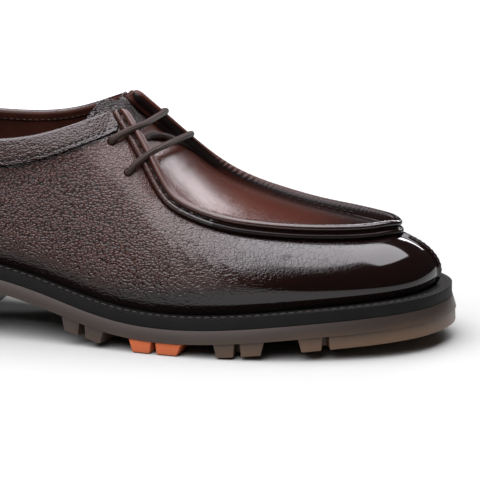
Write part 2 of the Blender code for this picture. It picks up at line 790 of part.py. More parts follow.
def heel_recess():
    """The hollow in the middle of the heel's foot, with its corners cut off."""
    back, front, half = HEEL_RECESS
    cut = HEEL_RECESS_CORNER
    xs = [back + cut, front - cut, front, front, front - cut, back + cut, back, back]
    ys = [-half, -half, cut - half, half - cut, half, half, half - cut, cut - half]
    count = len(xs)
    low = np.c_[xs, ys, np.full(count, -1.0)]
    high = np.c_[xs, ys, np.full(count, LUG_HEIGHT)]
    faces = [(i, (i + 1) % count, count + (i + 1) % count, count + i) for i in range(count)]
    faces += [tuple(range(count))[::-1], tuple(range(count, 2 * count))]
    return np.concatenate([low, high]), faces


def build_heel():
    stations = spaced((station_at(HEEL_BREAST_X, 1), 11, 6), (11, HEEL_STATION, 9))
    low = HEEL_FOOT_FLARE, lambda x: np.zeros_like(x)
    high = HEEL_TOP_FLARE, lambda x: sole_height(x) - TREAD_DROP - GAP
    heel = add_object("heel", *plate(stations, 6, low, high), "amber_rubber")
    cutters = [heel_recess()]
    for x in HEEL_GROOVE_X:
        for side in (1, -1):
            edge = outline(station_at(x, side))[0][1]
            ends = sorted([edge - side * 6.0, edge + side * HEEL_GROOVE_REACH])
            half = HEEL_GROOVE_WIDTH / 2
            cutters.append(box((x - half, ends[0], -1.0), (x + half, ends[1], LUG_HEIGHT)))
    add_boolean(heel, add_object("heel_cutters", *merged(cutters), "amber_rubber"), "DIFFERENCE")
    return heel


def build_collar_band():
    """The strip sewn round the collar, lying on the wall from one facing to the other."""
    sheet = Sheet()
    stations = spaced((BAND[0].station, FACING_TOP, 4), (FACING_TOP, 9.4, 6), (9.4, HEEL_STATION, 12))
    stations = np.concatenate([stations, STATIONS_ROUND - stations[-2::-1]])
    rows = np.linspace(0, 1, 4)
    knots, upper, lower = np.array(BAND).T
    for i, station in enumerate(stations):
        turn = abs(float(signed(station)))
        high, low = np.interp(turn, knots, upper), np.interp(turn, knots, lower)
        for j, share in enumerate(rows):
            height = np.array([wall_height_below(station, high + (low - high) * share)])
            spot = np.array([station])
            normal = wall_normal(spot, height)[0]
            point = wall(spot, height)[0]
            sheet.add(("band", i, j), point + normal * (GAP + BAND_WALL), point + normal * GAP)
    for i in range(len(stations) - 1):
        for j in range(len(rows) - 1):
            sheet.face(("band", i, j), ("band", i + 1, j), ("band", i + 1, j + 1), ("band", i, j + 1))
    shell = thick(np.array(sheet.outer), np.array(sheet.inner), sheet.faces)
    return add_object("collar_band", *shell, "grain_leather")


def tongue_ceiling():
    """The underside of facings and apron that the tongue lies under, as rows across the shoe."""
    stations = spaced((TONGUE_START, FACING_TOP, 9))
    flank = np.linspace(TONGUE_FLANK, 1, 4)
    across = np.linspace(0, 1, 9)
    rows = []
    for station in stations:
        sides = []
        for side in (1, -1):
            place = np.full_like(flank, side * station)
            sides.append(wall_inside(place, flank, UPPER_WALL))
        middle = apron_inside(np.full_like(across, station), across, UPPER_WALL)
        rows.append(np.concatenate([sides[0], middle, sides[1][::-1]]))
    return np.array(rows)


def build_tongue():
    """A sheet under the facings whose free top end bends into one smooth arch."""
    ceiling = tongue_ceiling()
    across = np.linspace(0, 1, ceiling.shape[1])
    reach = cubic([row.across for row in TONGUE_TOP], [(row.back, row.up) for row in TONGUE_TOP])(across)
    shift = np.c_[-reach[:, 0], np.zeros(len(reach)), reach[:, 1]]
    rows = list(ceiling)
    for share, rounding in TONGUE_FREE_ROWS:
        row = ceiling[-1] + shift * share
        for _ in range(rounding):
            row[1:-1] = (row[:-2] + 2 * row[1:-1] + row[2:]) / 4
        rows.append(row)
    grid = np.array(rows)
    normal = unit(np.cross(np.gradient(grid, axis=1), np.gradient(grid, axis=0)))
    normal *= np.sign(normal[..., 2:].mean())
    outer = (grid - normal * TONGUE_CLEARANCE).reshape(-1, 3)
    inner = (grid - normal * (TONGUE_CLEARANCE + TONGUE_WALL)).reshape(-1, 3)
    return add_object("tongue", *thick(outer, inner, grid_faces(*grid.shape[:2])), "grain_leather")


def lace_bar(name):
    """One visible bar of the lace: up from a lateral hole, over both crests and down to the medial hole."""
    lift = LACE_RADIUS + 0.6
    route = []
    for side in (1, -1):
        mouth, punched = lace_hole(name, side)
        station = np.array([side * LACE_HOLES[name, side].crossing])
        sections, out, up = ridge(station)
        over = sections[0, 5] + up[0] * lift
        beside = sections[0, 2] + out[0] * lift + up[0] * 0.8 * lift
        route.append([mouth + punched * lift, beside, over])
    near, far = route[0][-1], route[1][-1]
    span = [near + (far - near) * share for share in (0.2, 0.5, 0.8)]
    return tube_path(np.array(route[0] + span + route[1][::-1]))


def tube_path(points, steps=26):
    """Evenly spaced points of a smooth curve through the route's own points."""
    lengths = np.append(0, np.cumsum(np.linalg.norm(np.diff(points, axis=0), axis=1)))
    return cubic(lengths, points)(np.linspace(0, lengths[-1], steps))


def lace_under():
    """The stretch that crosses under the facings, from the lateral upper hole to the medial lower one."""
    lift = LACE_RADIUS + 0.9
    spots = [(7.76, 0.06), (7.66, 0.34), (7.56, 0.58), (7.48, 0.74), (7.38, 0.85)]
    points = []
    for station, across in spots:
        place = np.array([station]), np.array([across])
        points.append(apron_inside(*place, UPPER_WALL + 0.5)[0] + np.array([0, 0, lift]))
    return tube_path(np.array(points), 12)


def add_cord(name, points):
    curve = bpy.data.curves.new(name, "CURVE")
    curve.dimensions = "3D"
    curve.bevel_depth = LACE_RADIUS * MM
    curve.bevel_resolution = 2
    curve.use_fill_caps = True
    spline = curve.splines.new("POLY")
    spline.points.add(len(points) - 1)
    for slot, point in zip(spline.points, (points - ORIGIN) * MM):
        slot.co = (*point, 1.0)
    curve.materials.append(material("waxed_cord"))
    made = bpy.data.objects.new(name, curve)
    bpy.context.scene.collection.objects.link(made)
    return made


def main():
    for old in list(bpy.data.objects):
        bpy.data.objects.remove(old, do_unlink=True)
    build_outsole()
    build_accent_lug("accent_lug_lateral", 1)
    build_accent_lug("accent_lug_medial", -1)
    build_heel()
    build_welt()
    build_insole()
    build_upper()
    build_collar_band()
    build_tongue()
    add_cord("lace_bar_lower", lace_bar("lower"))
    add_cord("lace_bar_upper", lace_bar("upper"))
    add_cord("lace_under_bar", lace_under())


if __name__ == "__main__":
    main()
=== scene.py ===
"""Looks of a right lace-up shoe: grained leather wall, raised apron seam, split toe and lugged rubber sole.

Sizes in the tables are millimetres from the back of the heel. A station counts sections round the sole:
0 is the toe seam and 14 the middle of the heel, positive along the lateral side of the foot.
"""

from collections import namedtuple

import bmesh
import bpy
import numpy as np
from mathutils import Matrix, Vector


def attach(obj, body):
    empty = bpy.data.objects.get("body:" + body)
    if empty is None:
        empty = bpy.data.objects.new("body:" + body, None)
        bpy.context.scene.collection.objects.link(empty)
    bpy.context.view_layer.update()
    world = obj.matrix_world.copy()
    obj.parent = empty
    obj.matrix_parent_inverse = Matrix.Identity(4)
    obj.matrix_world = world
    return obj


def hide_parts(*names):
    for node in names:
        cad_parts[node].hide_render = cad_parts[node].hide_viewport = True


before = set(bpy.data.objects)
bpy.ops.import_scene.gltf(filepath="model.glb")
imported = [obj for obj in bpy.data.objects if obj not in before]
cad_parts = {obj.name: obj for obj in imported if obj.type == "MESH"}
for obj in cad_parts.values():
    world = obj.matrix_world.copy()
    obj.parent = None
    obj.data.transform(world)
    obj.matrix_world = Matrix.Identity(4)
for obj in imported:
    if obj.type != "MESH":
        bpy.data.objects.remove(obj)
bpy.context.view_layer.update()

bl_info = {
    "name": "Lace-up shoe",
    "version": (1, 0, 0),
    "blender": (4, 5, 0),
    "location": "View3D > Sidebar > Shoe",
    "description": "Dresses the shoe's solids in leather, thread, cord and rubber",
    "category": "Object",
}

MM = 0.001
FULL_TURN = 6.2832
GAP = 0.3
WELT_THICKNESS = 5.3
OUTSOLE_THICKNESS = 6.0
LUG_HEIGHT = 6.3
UPPER_WALL = 2.0
TONGUE_WALL = 1.9
BAND_WALL = 1.3
LACE_RADIUS = 1.55
LACE_HOLE_RADIUS = 2.1
OUTSOLE_TOP_FLARE = 0.3
OUTSOLE_TREAD_FLARE = 2.1
HEEL_STATION = 14
STATIONS_ROUND = 2 * HEEL_STATION
FACING_TOP = 8.3
CORNER_REACH = 0.6
CORNER_FADE = 5

# Outline of the welt seen from above, a row for each station from the toe to the heel
Outline = namedtuple("Outline", "x lateral medial")
OUTLINE = [
    Outline(303.5, 4.0, 4.0),
    Outline(299.5, -14.0, 20.0),
    Outline(290.0, -28.0, 32.5),
    Outline(275.0, -39.0, 42.5),
    Outline(255.0, -47.5, 49.5),
    Outline(230.0, -53.8, 53.0),
    Outline(205.0, -56.0, 52.5),
    Outline(180.0, -54.5, 47.5),
    Outline(150.0, -49.5, 39.5),
    Outline(115.0, -42.5, 34.5),
    Outline(80.0, -39.8, 36.5),
    Outline(50.0, -39.5, 37.5),
    Outline(25.0, -33.5, 32.0),
    Outline(8.0, -19.0, 18.5),
    Outline(2.0, 0.0, 0.0),
]

# Height of the welt's upper face along the shoe: heel seat, waist, ball and toe spring
Profile = namedtuple("Profile", "x height")
PROFILE = [
    Profile(-10, 37.0),
    Profile(30, 37.0),
    Profile(62, 36.9),
    Profile(80, 36.0),
    Profile(98, 33.0),
    Profile(118, 28.2),
    Profile(139, 22.4),
    Profile(158, 18.6),
    Profile(178, 17.2),
    Profile(203, 18.1),
    Profile(240, 21.4),
    Profile(277, 24.1),
    Profile(315, 26.0),
]

# Crest of the raised apron seam, from the toe to the top of the lacing
Crest = namedtuple("Crest", "station lateral_x lateral_y lateral_z medial_x medial_y medial_z tilt")
CREST = [
    Crest(0.0, 278.0, 2.6, 55.4, 278.0, 2.6, 55.4, 0),
    Crest(1.0, 274.6, -4.2, 56.1, 274.8, 8.8, 56.2, 0),
    Crest(2.0, 266.8, -12.0, 56.1, 267.2, 15.6, 56.4, 0),
    Crest(3.0, 254.0, -20.6, 56.7, 254.5, 23.3, 56.8, 0),
    Crest(4.0, 236.0, -28.2, 57.9, 236.0, 30.4, 58.1, 0),
    Crest(5.0, 215.0, -34.5, 60.4, 215.5, 35.4, 61.7, 2),
    Crest(6.0, 196.0, -36.5, 64.6, 196.0, 36.4, 68.2, 6),
    Crest(6.6, 185.0, -35.7, 69.0, 185.5, 35.3, 74.4, 12),
    Crest(7.1, 178.0, -33.4, 75.2, 177.5, 32.5, 81.3, 20),
    Crest(7.6, 168.5, -27.5, 88.8, 167.0, 25.6, 92.3, 30),
    Crest(FACING_TOP, 154.5, -18.9, 106.7, 151.0, 16.6, 108.6, 38),
]

# Section of the seam, across its crest: the lip of the side wall, a groove, then the apron's rolled edge
Ridge = namedtuple("Ridge", "out up slant")
RIDGE = [
    Ridge(0.9, -6.7, 1.0),
    Ridge(2.6, -6.3, 1.0),
    Ridge(2.8, -4.6, 0.8),
    Ridge(1.2, -3.7, 0.6),
    Ridge(2.3, -1.8, 0.3),
    Ridge(0.6, 0.0, 0.0),
    Ridge(-1.8, -0.5, 0.0),
    Ridge(-3.2, -4.0, 0.0),
]
FACING_SLANT = 0.09
FACING_SLANT_START = 7.5

# Top line of the collar behind the lacing
Collar = namedtuple("Collar", "station lateral_x lateral_y lateral_z medial_x medial_y medial_z")
COLLAR = [
    Collar(8.75, 138.0, -25.8, 102.4, 136.0, 23.6, 103.8),
    Collar(9.4, 117.5, -30.8, 95.8, 117.0, 28.5, 97.2),
    Collar(10.0, 98.0, -33.0, 92.7, 97.0, 31.0, 94.4),
    Collar(10.6, 78.0, -32.8, 92.0, 78.0, 30.7, 94.6),
    Collar(11.3, 56.0, -30.2, 93.2, 56.0, 28.4, 95.6),
    Collar(12.2, 33.0, -22.8, 96.8, 33.0, 21.4, 98.4),
    Collar(13.2, 17.5, -10.5, 100.4, 17.5, 10.0, 100.9),
    Collar(14.0, 13.5, 0.0, 101.4, 13.5, 0.0, 101.4),
]

# Side wall of the last: inset of its foot from the welt's edge, then the two handles of its curve
Wall = namedtuple("Wall", "station ledge swell rise shoulder drop")
WALL = [
    Wall(0.0, 8.2, 6.0, 6.4, 17.5, 5.2),
    Wall(2.0, 8.2, 6.0, 7.0, 15.5, 5.6),
    Wall(4.0, 8.0, 6.0, 8.0, 13.0, 6.5),
    Wall(6.0, 7.5, 6.0, 9.0, 12.0, 8.0),
    Wall(7.1, 7.2, 6.0, 9.5, 12.5, 10.5),
    Wall(FACING_TOP, 7.0, 6.0, 10.0, 13.5, 14.0),
    Wall(9.2, 6.5, 6.0, 10.0, 9.0, 16.0),
    Wall(10.0, 6.0, 6.0, 10.0, 5.5, 18.0),
    Wall(12.0, 5.5, 6.3, 11.5, 6.0, 20.0),
    Wall(14.0, 5.5, 6.5, 12.0, 7.0, 22.0),
]

# Height that the apron swells between its two creases
Dome = namedtuple("Dome", "station height")
DOME = [
    Dome(0.0, 0.0),
    Dome(1.0, 0.4),
    Dome(3.0, 1.2),
    Dome(5.0, 2.4),
    Dome(6.6, 3.2),
    Dome(FACING_TOP, 3.0),
]

# The collar band, measured down from the top line; in front it stops short of the facing's lip
Band = namedtuple("Band", "station upper lower")
BAND = [
    Band(8.1, 1.2, 4.3),
    Band(FACING_TOP, 1.2, 13.7),
    Band(8.4, 0.0, 13.8),
    Band(8.8, 0.0, 14.1),
    Band(9.4, 0.0, 13.5),
    Band(11.0, 0.0, 13.9),
    Band(14.0, 0.0, 14.0),
]

# How far the tongue's top edge stands past the facings, from its flank to its middle
TongueTop = namedtuple("TongueTop", "across back up")
TONGUE_TOP = [
    TongueTop(0.0, 15.0, -5.0),
    TongueTop(0.18, 16.5, -1.0),
    TongueTop(0.5, 11.0, 2.0),
    TongueTop(0.82, 16.0, -0.5),
    TongueTop(1.0, 15.0, -5.0),
]
TONGUE_FREE_ROWS = ((0.3, 2), (0.65, 6), (1.0, 12))
TONGUE_CLEARANCE = 0.5
TONGUE_START = 6.75
TONGUE_FLANK = 0.88

# Lace holes: where they are along the seam and how far below its lip, and where the lace crosses the crest
LaceHole = namedtuple("LaceHole", "station below crossing")
LACE_HOLES = {
    ("lower", 1): LaceHole(7.74, 12.2, 7.58),
    ("lower", -1): LaceHole(7.45, 12.2, 7.29),
    ("upper", 1): LaceHole(8.16, 11.0, 7.95),
    ("upper", -1): LaceHole(8.01, 11.0, 7.8),
}
LACE_UNDER = [(7.76, 0.06), (7.66, 0.34), (7.56, 0.58), (7.48, 0.74), (7.38, 0.85)]

# Tread blocks along each edge: where they start and end on the floor, with a notch in the outer face
Lug = namedtuple("Lug", "back notch_back notch_front front depth")
WAIST_LUG = Lug(131.5, 138.5, 142.0, 149.5, 27.0)
ACCENT_LUG = Lug(165.5, 174.0, 177.2, 187.0, 27.0)
BALL_LUG = Lug(205.5, 213.2, 216.6, 225.5, 27.0)
TOE_LUG = Lug(243.5, 252.2, 255.8, None, 25.0)
NOTCH_DEPTH = 9.0
LUG_DRAFT = 2.0
LUG_BURIED = 1.5
MIDDLE_LUGS_X = (157.0, 196.0, 234.0)
MIDDLE_LUG_LENGTH = 13.0
MIDDLE_LUG_WIDTH = 22.0

# Heel block under the rubber
HEEL_BREAST_X = 78.0
HEEL_TOP_FLARE = 1.6
HEEL_FOOT_FLARE = 0.6
HEEL_GROOVE_X = (28.0, 52.0)
HEEL_GROOVE_WIDTH = 4.0
HEEL_GROOVE_REACH = 13.0
HEEL_RECESS = (24.0, 62.0, 17.0)
HEEL_RECESS_CORNER = 7.0

# Soft troughs of the wall where the foot bends: middle, half length, half width, turn and depth
Crease = namedtuple("Crease", "station height length width turn depth")
CREASES = [
    Crease(6.55, 0.66, 11.0, 1.5, 62, 0.16),
    Crease(6.10, 0.58, 12.0, 1.6, 55, 0.14),
    Crease(5.62, 0.52, 10.0, 1.5, 50, 0.10),
    Crease(7.15, 0.50, 13.0, 1.8, 40, 0.16),
    Crease(7.85, 0.40, 15.0, 2.0, 22, 0.16),
    Crease(8.60, 0.52, 15.0, 2.0, 8, 0.14),
    Crease(9.40, 0.36, 16.0, 2.2, -6, 0.14),
    Crease(-6.50, 0.64, 11.0, 1.5, -60, 0.16),
    Crease(-6.00, 0.56, 12.0, 1.6, -52, 0.14),
    Crease(-7.20, 0.48, 13.0, 1.8, -38, 0.14),
    Crease(-8.50, 0.48, 15.0, 2.0, -10, 0.14),
]

# Burnish, grain, crackle, painted shade in the seam's groove and the rubber's painted glow along the shoe, as
# rows of x and value
WALL_BURNISH = [(150, 0.0), (180, 0.35), (215, 0.75), (240, 0.93), (262, 1.0)]
WALL_GRAIN = [(165, 1.0), (190, 0.42), (215, 0.08), (240, 0.02), (262, 0.0)]
WALL_CRACKLE = [(160, 0.0), (195, 0.8), (235, 1.0), (262, 0.55), (276, 0.0)]
SEAM_BURNISH = [(150, 0.15), (172, 0.25), (200, 0.45), (235, 0.65), (262, 0.85), (280, 1.0)]
GROOVE_SHADE = [(172, 0.6), (200, 1.0)]
LIP_BURNISH = [(110, 0.35), (150, 0.22), (170, 0.18), (205, 0.75)]
APRON_BURNISH = [(165, 0.05), (205, 0.05), (240, 0.36), (262, 0.8), (276, 1.0)]
RUBBER_GLOW = [(100, 0.35), (190, 0.55), (250, 0.75), (300, 1.0)]

# Rows of points across wall, lining, seam and band; the lip of the wall's leather ends at LIP_ROWS
WALL_ROWS = 66
LINING_ROWS = 22
SEAM_ROWS = 34
LIP_ROWS = 11
BAND_ROWS = 24
APRON_COLUMNS = 56

# The top line's roll and the station where it is full, and the height just under the wall's edge
TOP_ROLL = 1.7
ROLL_FULL = 8.5
NEAR_TOP = 0.999

# How far the toe's seam reaches, the raised seam's rounded end, the apron's sinking end and its dark lip
TOE_SEAM_REACH = 1.2
FACING_ROUND = 8.2
THROAT_START = 6.95
THROAT_END = 7.8
THROAT_SINK = 3.2
DARK_LIP_X = 200

# The band: where its tabs meet it, how far it sinks into the wall and how far it comes down inside
BAND_JOINT = FACING_TOP + 0.02
BAND_SINK = 0.25
INSIDE_BINDING = 3.6

# Sewing: in from the welt's edge, up from the band's, down from the top line, out and up from the crest, and
# to each side of the toe's seam
WELT_STITCH_INSET = 2.3
BAND_STITCH = 2.8
LINING_STITCH = 15.5
GROOVE_STITCH = (1.55, -3.55)
CREASE_STITCH = (-3.05, -3.1)
TOE_STITCH = 1.5

# Distance between rings of the lace's mesh, and the corners of each
LACE_STEP = 0.55
LACE_SIDES = 16

# The studio: the floor's two tones, its reach and how far it lies under the tread in metres, lamps and air
FLOOR_NEAR = (0.385, 0.396, 0.38)
FLOOR_FAR = (0.85, 0.87, 0.84)
FLOOR_REACH = 6.0
FLOOR_DROP = 0.0003
LAMP_COLOUR = (0.98, 0.95, 1.0)
AIR_COLOUR = (0.9, 0.93, 1.0)
AIR_STRENGTH = 0.04


def cubic(knots, rows):
    """A smooth curve through rows, as a function of the knot value (natural cubic spline)."""
    knots = np.asarray(knots, float)
    rows = np.asarray(rows, float)
    shape = rows.shape[1:]
    rows = rows.reshape(len(knots), -1)
    span = np.diff(knots)
    last = len(knots) - 1
    system = np.eye(last + 1)
    right = np.zeros_like(rows)
    for i in range(1, last):
        system[i, i - 1 : i + 2] = span[i - 1], 2 * (span[i - 1] + span[i]), span[i]
        after = (rows[i + 1] - rows[i]) / span[i]
        before = (rows[i] - rows[i - 1]) / span[i - 1]
        right[i] = 6 * (after - before)
    bend = np.linalg.solve(system, right)

    def at(knot):
        knot = np.asarray(knot, float)
        flat = knot.reshape(-1)
        i = np.clip(np.searchsorted(knots, flat, side="right") - 1, 0, last - 1)
        width = span[i][:, None]
        a = (knots[i + 1] - flat)[:, None] / width
        b = 1 - a
        bow = ((a**3 - a) * bend[i] + (b**3 - b) * bend[i + 1]) * width**2 / 6
        return (a * rows[i] + b * rows[i + 1] + bow).reshape(*knot.shape, *(shape or (1,)))

    return at


def mirrored(rows, *columns):
    """A spline in the signed station of columns that are the same on both sides of the shoe."""
    stations = [row.station for row in rows]
    values = [[getattr(row, column) for column in columns] for row in rows]
    if stations[0] > 0:
        return cubic(stations, values)
    knots = [-s for s in stations[:0:-1]] + stations
    return cubic(knots, values[:0:-1] + values)


def two_sided(rows):
    """Signed stations and points of a table with a lateral and a medial column for each of x, y and z."""
    lateral = [(row.station, (row.lateral_x, row.lateral_y, row.lateral_z)) for row in rows]
    medial = [(-row.station, (row.medial_x, row.medial_y, row.medial_z)) for row in rows]
    return lateral, medial


def unit(vectors):
    return vectors / np.linalg.norm(vectors, axis=-1, keepdims=True)


def smooth(low, high, value):
    """0 below low, 1 above high, and a soft step between them."""
    t = np.clip((np.asarray(value, float) - low) / (high - low), 0, 1)
    return t * t * (3 - 2 * t)


def hump(value, width):
    """1 where the value is 0, fading away within about two widths."""
    return np.exp(-((value / width) ** 2))


def along_shoe(x, ramp):
    """A value that changes along the shoe, read from rows of x and value."""
    return np.interp(x, *np.array(ramp, float).T)


def round_over(edge, radius):
    """Rise of a rounded edge: 0 at the edge itself and 1 a radius away from it."""
    return np.sqrt(np.clip(1 - (1 - np.clip(edge / radius, 0, 1)) ** 2, 0, 1))


def runs(points):
    """How far along a path each of its points is."""
    return np.append(0, np.cumsum(np.linalg.norm(np.diff(points, axis=0), axis=1)))


def eased(points, times):
    """Points drawn towards their neighbours a number of times, with both ends kept."""
    for _ in range(times):
        points[1:-1] = (points[:-2] + 2 * points[1:-1] + points[2:]) / 4
    return points


def outline_spline():
    """The closed outline, with a few rows repeated past each end so that it joins smoothly."""
    lateral = [(row.x, row.lateral) for row in OUTLINE]
    medial = [(row.x, row.medial) for row in OUTLINE[-2:0:-1]]
    ring = lateral + medial
    lap = 6
    knots = np.arange(-lap, STATIONS_ROUND + lap + 1)
    return cubic(knots, [ring[k % STATIONS_ROUND] for k in knots])


OUTLINE_AT = outline_spline()
PROFILE_AT = cubic([row.x for row in PROFILE], [row.height for row in PROFILE])
WALL_AT = mirrored(WALL, "ledge", "swell", "rise", "shoulder", "drop")
TILT_AT = mirrored(CREST, "tilt")
DOME_AT = mirrored(DOME, "height")


def crest_spline():
    lateral, medial = two_sided(CREST)
    rows = medial[:0:-1] + lateral
    return cubic([knot for knot, _ in rows], [point for _, point in rows])


CREST_AT = crest_spline()


def signed(station):
    """The station as -14 to 14, also when it was counted on past the heel."""
    return (np.asarray(station, float) + HEEL_STATION) % STATIONS_ROUND - HEEL_STATION


def sole_height(x):
    return PROFILE_AT(x)[..., 0]


def outline(station, offset=0.0):
    """Points and outward directions of the welt's outline, moved outward by offset."""
    turn = np.asarray(station, float) % STATIONS_ROUND
    step = 0.01
    tangent = unit(OUTLINE_AT(turn + step) - OUTLINE_AT(turn - step))
    outward = np.stack([-tangent[..., 1], tangent[..., 0]], -1)
    return OUTLINE_AT(turn) + outward * np.asarray(offset, float)[..., None], outward


def station_at(x, side):
    """The station where the outline has this x. side is 1 on the lateral side and -1 on the medial."""
    stations = np.linspace(0, HEEL_STATION, 1401)
    xs = outline(side * stations)[0][:, 0]
    return side * float(np.interp(-x, -xs, stations))


def ridge_frame(station):
    """Outward and upward axes of the raised seam, and how far its lip runs on past its crest."""
    station = np.asarray(station, float)
    step = 0.01
    along = unit(CREST_AT(station + step) - CREST_AT(station - step))
    level = unit(np.stack([-along[..., 1], along[..., 0], np.zeros_like(station)], -1))
    upright = np.cross(along, level)
    tilt = np.radians(TILT_AT(station))
    out = level * np.cos(tilt) + upright * np.sin(tilt)
    up = upright * np.cos(tilt) - level * np.sin(tilt)
    reach = np.clip((np.abs(station) - FACING_SLANT_START) / (FACING_TOP - FACING_SLANT_START), 0, 1) ** 2
    return out, up, np.sign(station) * reach * FACING_SLANT


def ridge_points(station, section):
    """Points of a seam section, given as rows of out, up and slant, at each station."""
    out, up, past = ridge_frame(station)
    rows = [CREST_AT(station + past * s) + out * o + up * u for o, u, s in section]
    return np.stack(rows, -2)


def collar_spline():
    """The top line from the lateral facing round the heel to the medial one, starting at the seam's lip."""
    lateral, medial = two_sided(COLLAR)
    corner_lateral = ridge_points(np.array([FACING_TOP]), RIDGE)[0, 0]
    corner_medial = ridge_points(np.array([-FACING_TOP]), RIDGE)[0, 0]
    rows = [(FACING_TOP, corner_lateral)] + lateral
    rows += [(STATIONS_ROUND + knot, point) for knot, point in medial[-2::-1]]
    rows.append((STATIONS_ROUND - FACING_TOP, corner_medial))
    return cubic([knot for knot, _ in rows], [point for _, point in rows])


COLLAR_AT = collar_spline()


def wall_top(station):
    """The side wall's upper edge: the seam's lip in front of the lacing, and the collar behind it."""
    turn = signed(station)
    in_front = np.abs(turn) <= FACING_TOP
    front = ridge_points(np.clip(turn, -FACING_TOP, FACING_TOP), RIDGE[:1])[..., 0, :]
    behind = COLLAR_AT(np.clip(turn % STATIONS_ROUND, FACING_TOP, STATIONS_ROUND - FACING_TOP))
    return np.where(in_front[..., None], front, behind)


def body_top_spline():
    """The wall's top edge with its corners at the facings rounded, which shapes the wall below them."""
    front = [row.station for row in CREST if row.station < FACING_TOP - CORNER_REACH]
    behind = [row.station for row in COLLAR if row.station > FACING_TOP + CORNER_REACH]
    side = front + behind
    ring = side + [STATIONS_ROUND - knot for knot in side[-2:0:-1]]
    lap = 6
    knots = [knot - STATIONS_ROUND for knot in ring[-lap:]] + ring
    knots += [knot + STATIONS_ROUND for knot in ring[:lap]]
    return cubic(knots, wall_top(np.array(knots)))


BODY_TOP_AT = body_top_spline()


def wall(station, height):
    """The outer surface of the side wall. height runs from 0 at the welt to 1 at the top edge."""
    station, height = np.broadcast_arrays(np.asarray(station, float), np.asarray(height, float))
    shape = WALL_AT(np.abs(signed(station)))
    ledge, swell, rise, shoulder, drop = np.moveaxis(shape, -1, 0)
    plan, outward = outline(station, -ledge)
    foot = np.concatenate([plan, (sole_height(plan[..., 0]) + GAP)[..., None]], -1)
    outward = np.concatenate([outward, np.zeros_like(foot[..., :1])], -1)
    upward = np.array([0.0, 0.0, 1.0])
    body_top = BODY_TOP_AT(station % STATIONS_ROUND)
    low = foot + outward * swell[..., None] + upward * rise[..., None]
    high = body_top + outward * shoulder[..., None] - upward * drop[..., None]
    t = height[..., None]
    body = foot * (1 - t) ** 3 + 3 * low * t * (1 - t) ** 2 + 3 * high * t**2 * (1 - t) + body_top * t**3
    return body + (wall_top(station) - body_top) * t**CORNER_FADE


def wall_normal(station, height):
    step = 0.004
    along = wall(station + step, height) - wall(station - step, height)
    rise = wall(station, height + step) - wall(station, height - step)
    return unit(np.cross(rise, along))


def wall_inside(station, height, depth):
    return wall(station, height) - wall_normal(station, height) * depth


def height_below(station, distance):
    """The wall height that lies this far below its top edge, measured along the surface."""
    station, distance = np.broadcast_arrays(np.asarray(station, float), np.asarray(distance, float))
    heights = np.linspace(1, 0.2, 81)
    points = wall(station[..., None], heights)
    steps = np.linalg.norm(np.diff(points, axis=-2), axis=-1)
    lengths = np.concatenate([np.zeros_like(steps[..., :1]), np.cumsum(steps, -1)], -1)
    flat = [np.interp(d, row, heights) for d, row in zip(distance.ravel(), lengths.reshape(-1, 81))]
    return np.array(flat).reshape(distance.shape)


def apron(station, across):
    """The apron between its two creases. across runs from 0 on the lateral side to 1 on the medial."""
    lateral = ridge_points(station, RIDGE[-1:])[..., 0, :]
    medial = ridge_points(-station, RIDGE[-1:])[..., 0, :]
    share = np.asarray(across, float)[..., None]
    swell = DOME_AT(station) * 4 * share * (1 - share)
    return lateral * (1 - share) + medial * share + swell * np.array([0.0, 0.0, 1.0])


def apron_normal(station, across):
    step = 0.01
    along = apron(station + step, across) - apron(station - step, across)
    sideways = apron(station, across + step) - apron(station, across - step)
    normal = unit(np.cross(along, sideways))
    return normal * np.sign(normal[..., 2:])


def apron_inside(station, across, depth):
    return apron(station, across) - apron_normal(station, across) * np.asarray(depth, float)[..., None]


def origin():
    """The middle of the tread's box, which is the part's origin on the floor."""
    edge = outline(np.linspace(0, STATIONS_ROUND, 2801), OUTSOLE_TREAD_FLARE)[0]
    return np.append((edge.min(0) + edge.max(0)) / 2, 0.0)


ORIGIN = origin()


def spaced(*spans):
    """Station values from (start, end, steps) spans, each span's end being the next one's start."""
    parts = [np.linspace(start, end, steps, endpoint=False) for start, end, steps in spans]
    return np.append(np.concatenate(parts), spans[-1][1])


def curve_through(points, count):
    """Evenly spaced points of a smooth curve through the given ones."""
    points = np.asarray(points, float)
    lengths = runs(points)
    fine = cubic(lengths, points)(np.linspace(0, lengths[-1], 20 * len(points)))
    along = runs(fine)
    even = np.linspace(0, along[-1], count)
    return np.stack([np.interp(even, along, fine[:, k]) for k in range(fine.shape[1])], -1)


def quads_of(at):
    """Quads between the neighbours in a grid of point numbers."""
    return np.stack([at[:-1, :-1], at[1:, :-1], at[1:, 1:], at[:-1, 1:]], -1).reshape(-1, 4)


def grid_faces(rows, columns, closed=False):
    """Quads of a grid whose points are stored row after row, closed from its last row to its first or not."""
    at = np.arange(rows * columns).reshape(rows, columns)
    if closed:
        at = np.concatenate([at, at[:1]])
    return quads_of(at)


def without_doubles(faces):
    """Faces as tuples, with a corner that comes twice in a row left out."""
    kept = []
    for face in faces.tolist():
        corners = [c for i, c in enumerate(face) if c != face[i - 1]]
        if len(corners) > 2:
            kept.append(tuple(corners))
    return kept


def thick(outer, inner, faces):
    """Points and faces of the closed solid between two like sheets, joined round every open edge."""
    count = len(outer)
    used = {(f[i - 1], f[i]) for f in faces for i in range(len(f))}
    rim = [(a, b) for a, b in used if (b, a) not in used]
    sides = [(b, a, a + count, b + count) for a, b in sorted(rim)]
    back = [tuple(i + count for i in reversed(f)) for f in faces]
    return np.concatenate([outer, inner]), list(faces) + back + sides


def thick_sheet(outer, inner):
    """The closed solid between two like grids of points."""
    quads = [tuple(f) for f in grid_faces(*outer.shape[:2]).tolist()]
    return thick(outer.reshape(-1, 3), inner.reshape(-1, 3), quads)


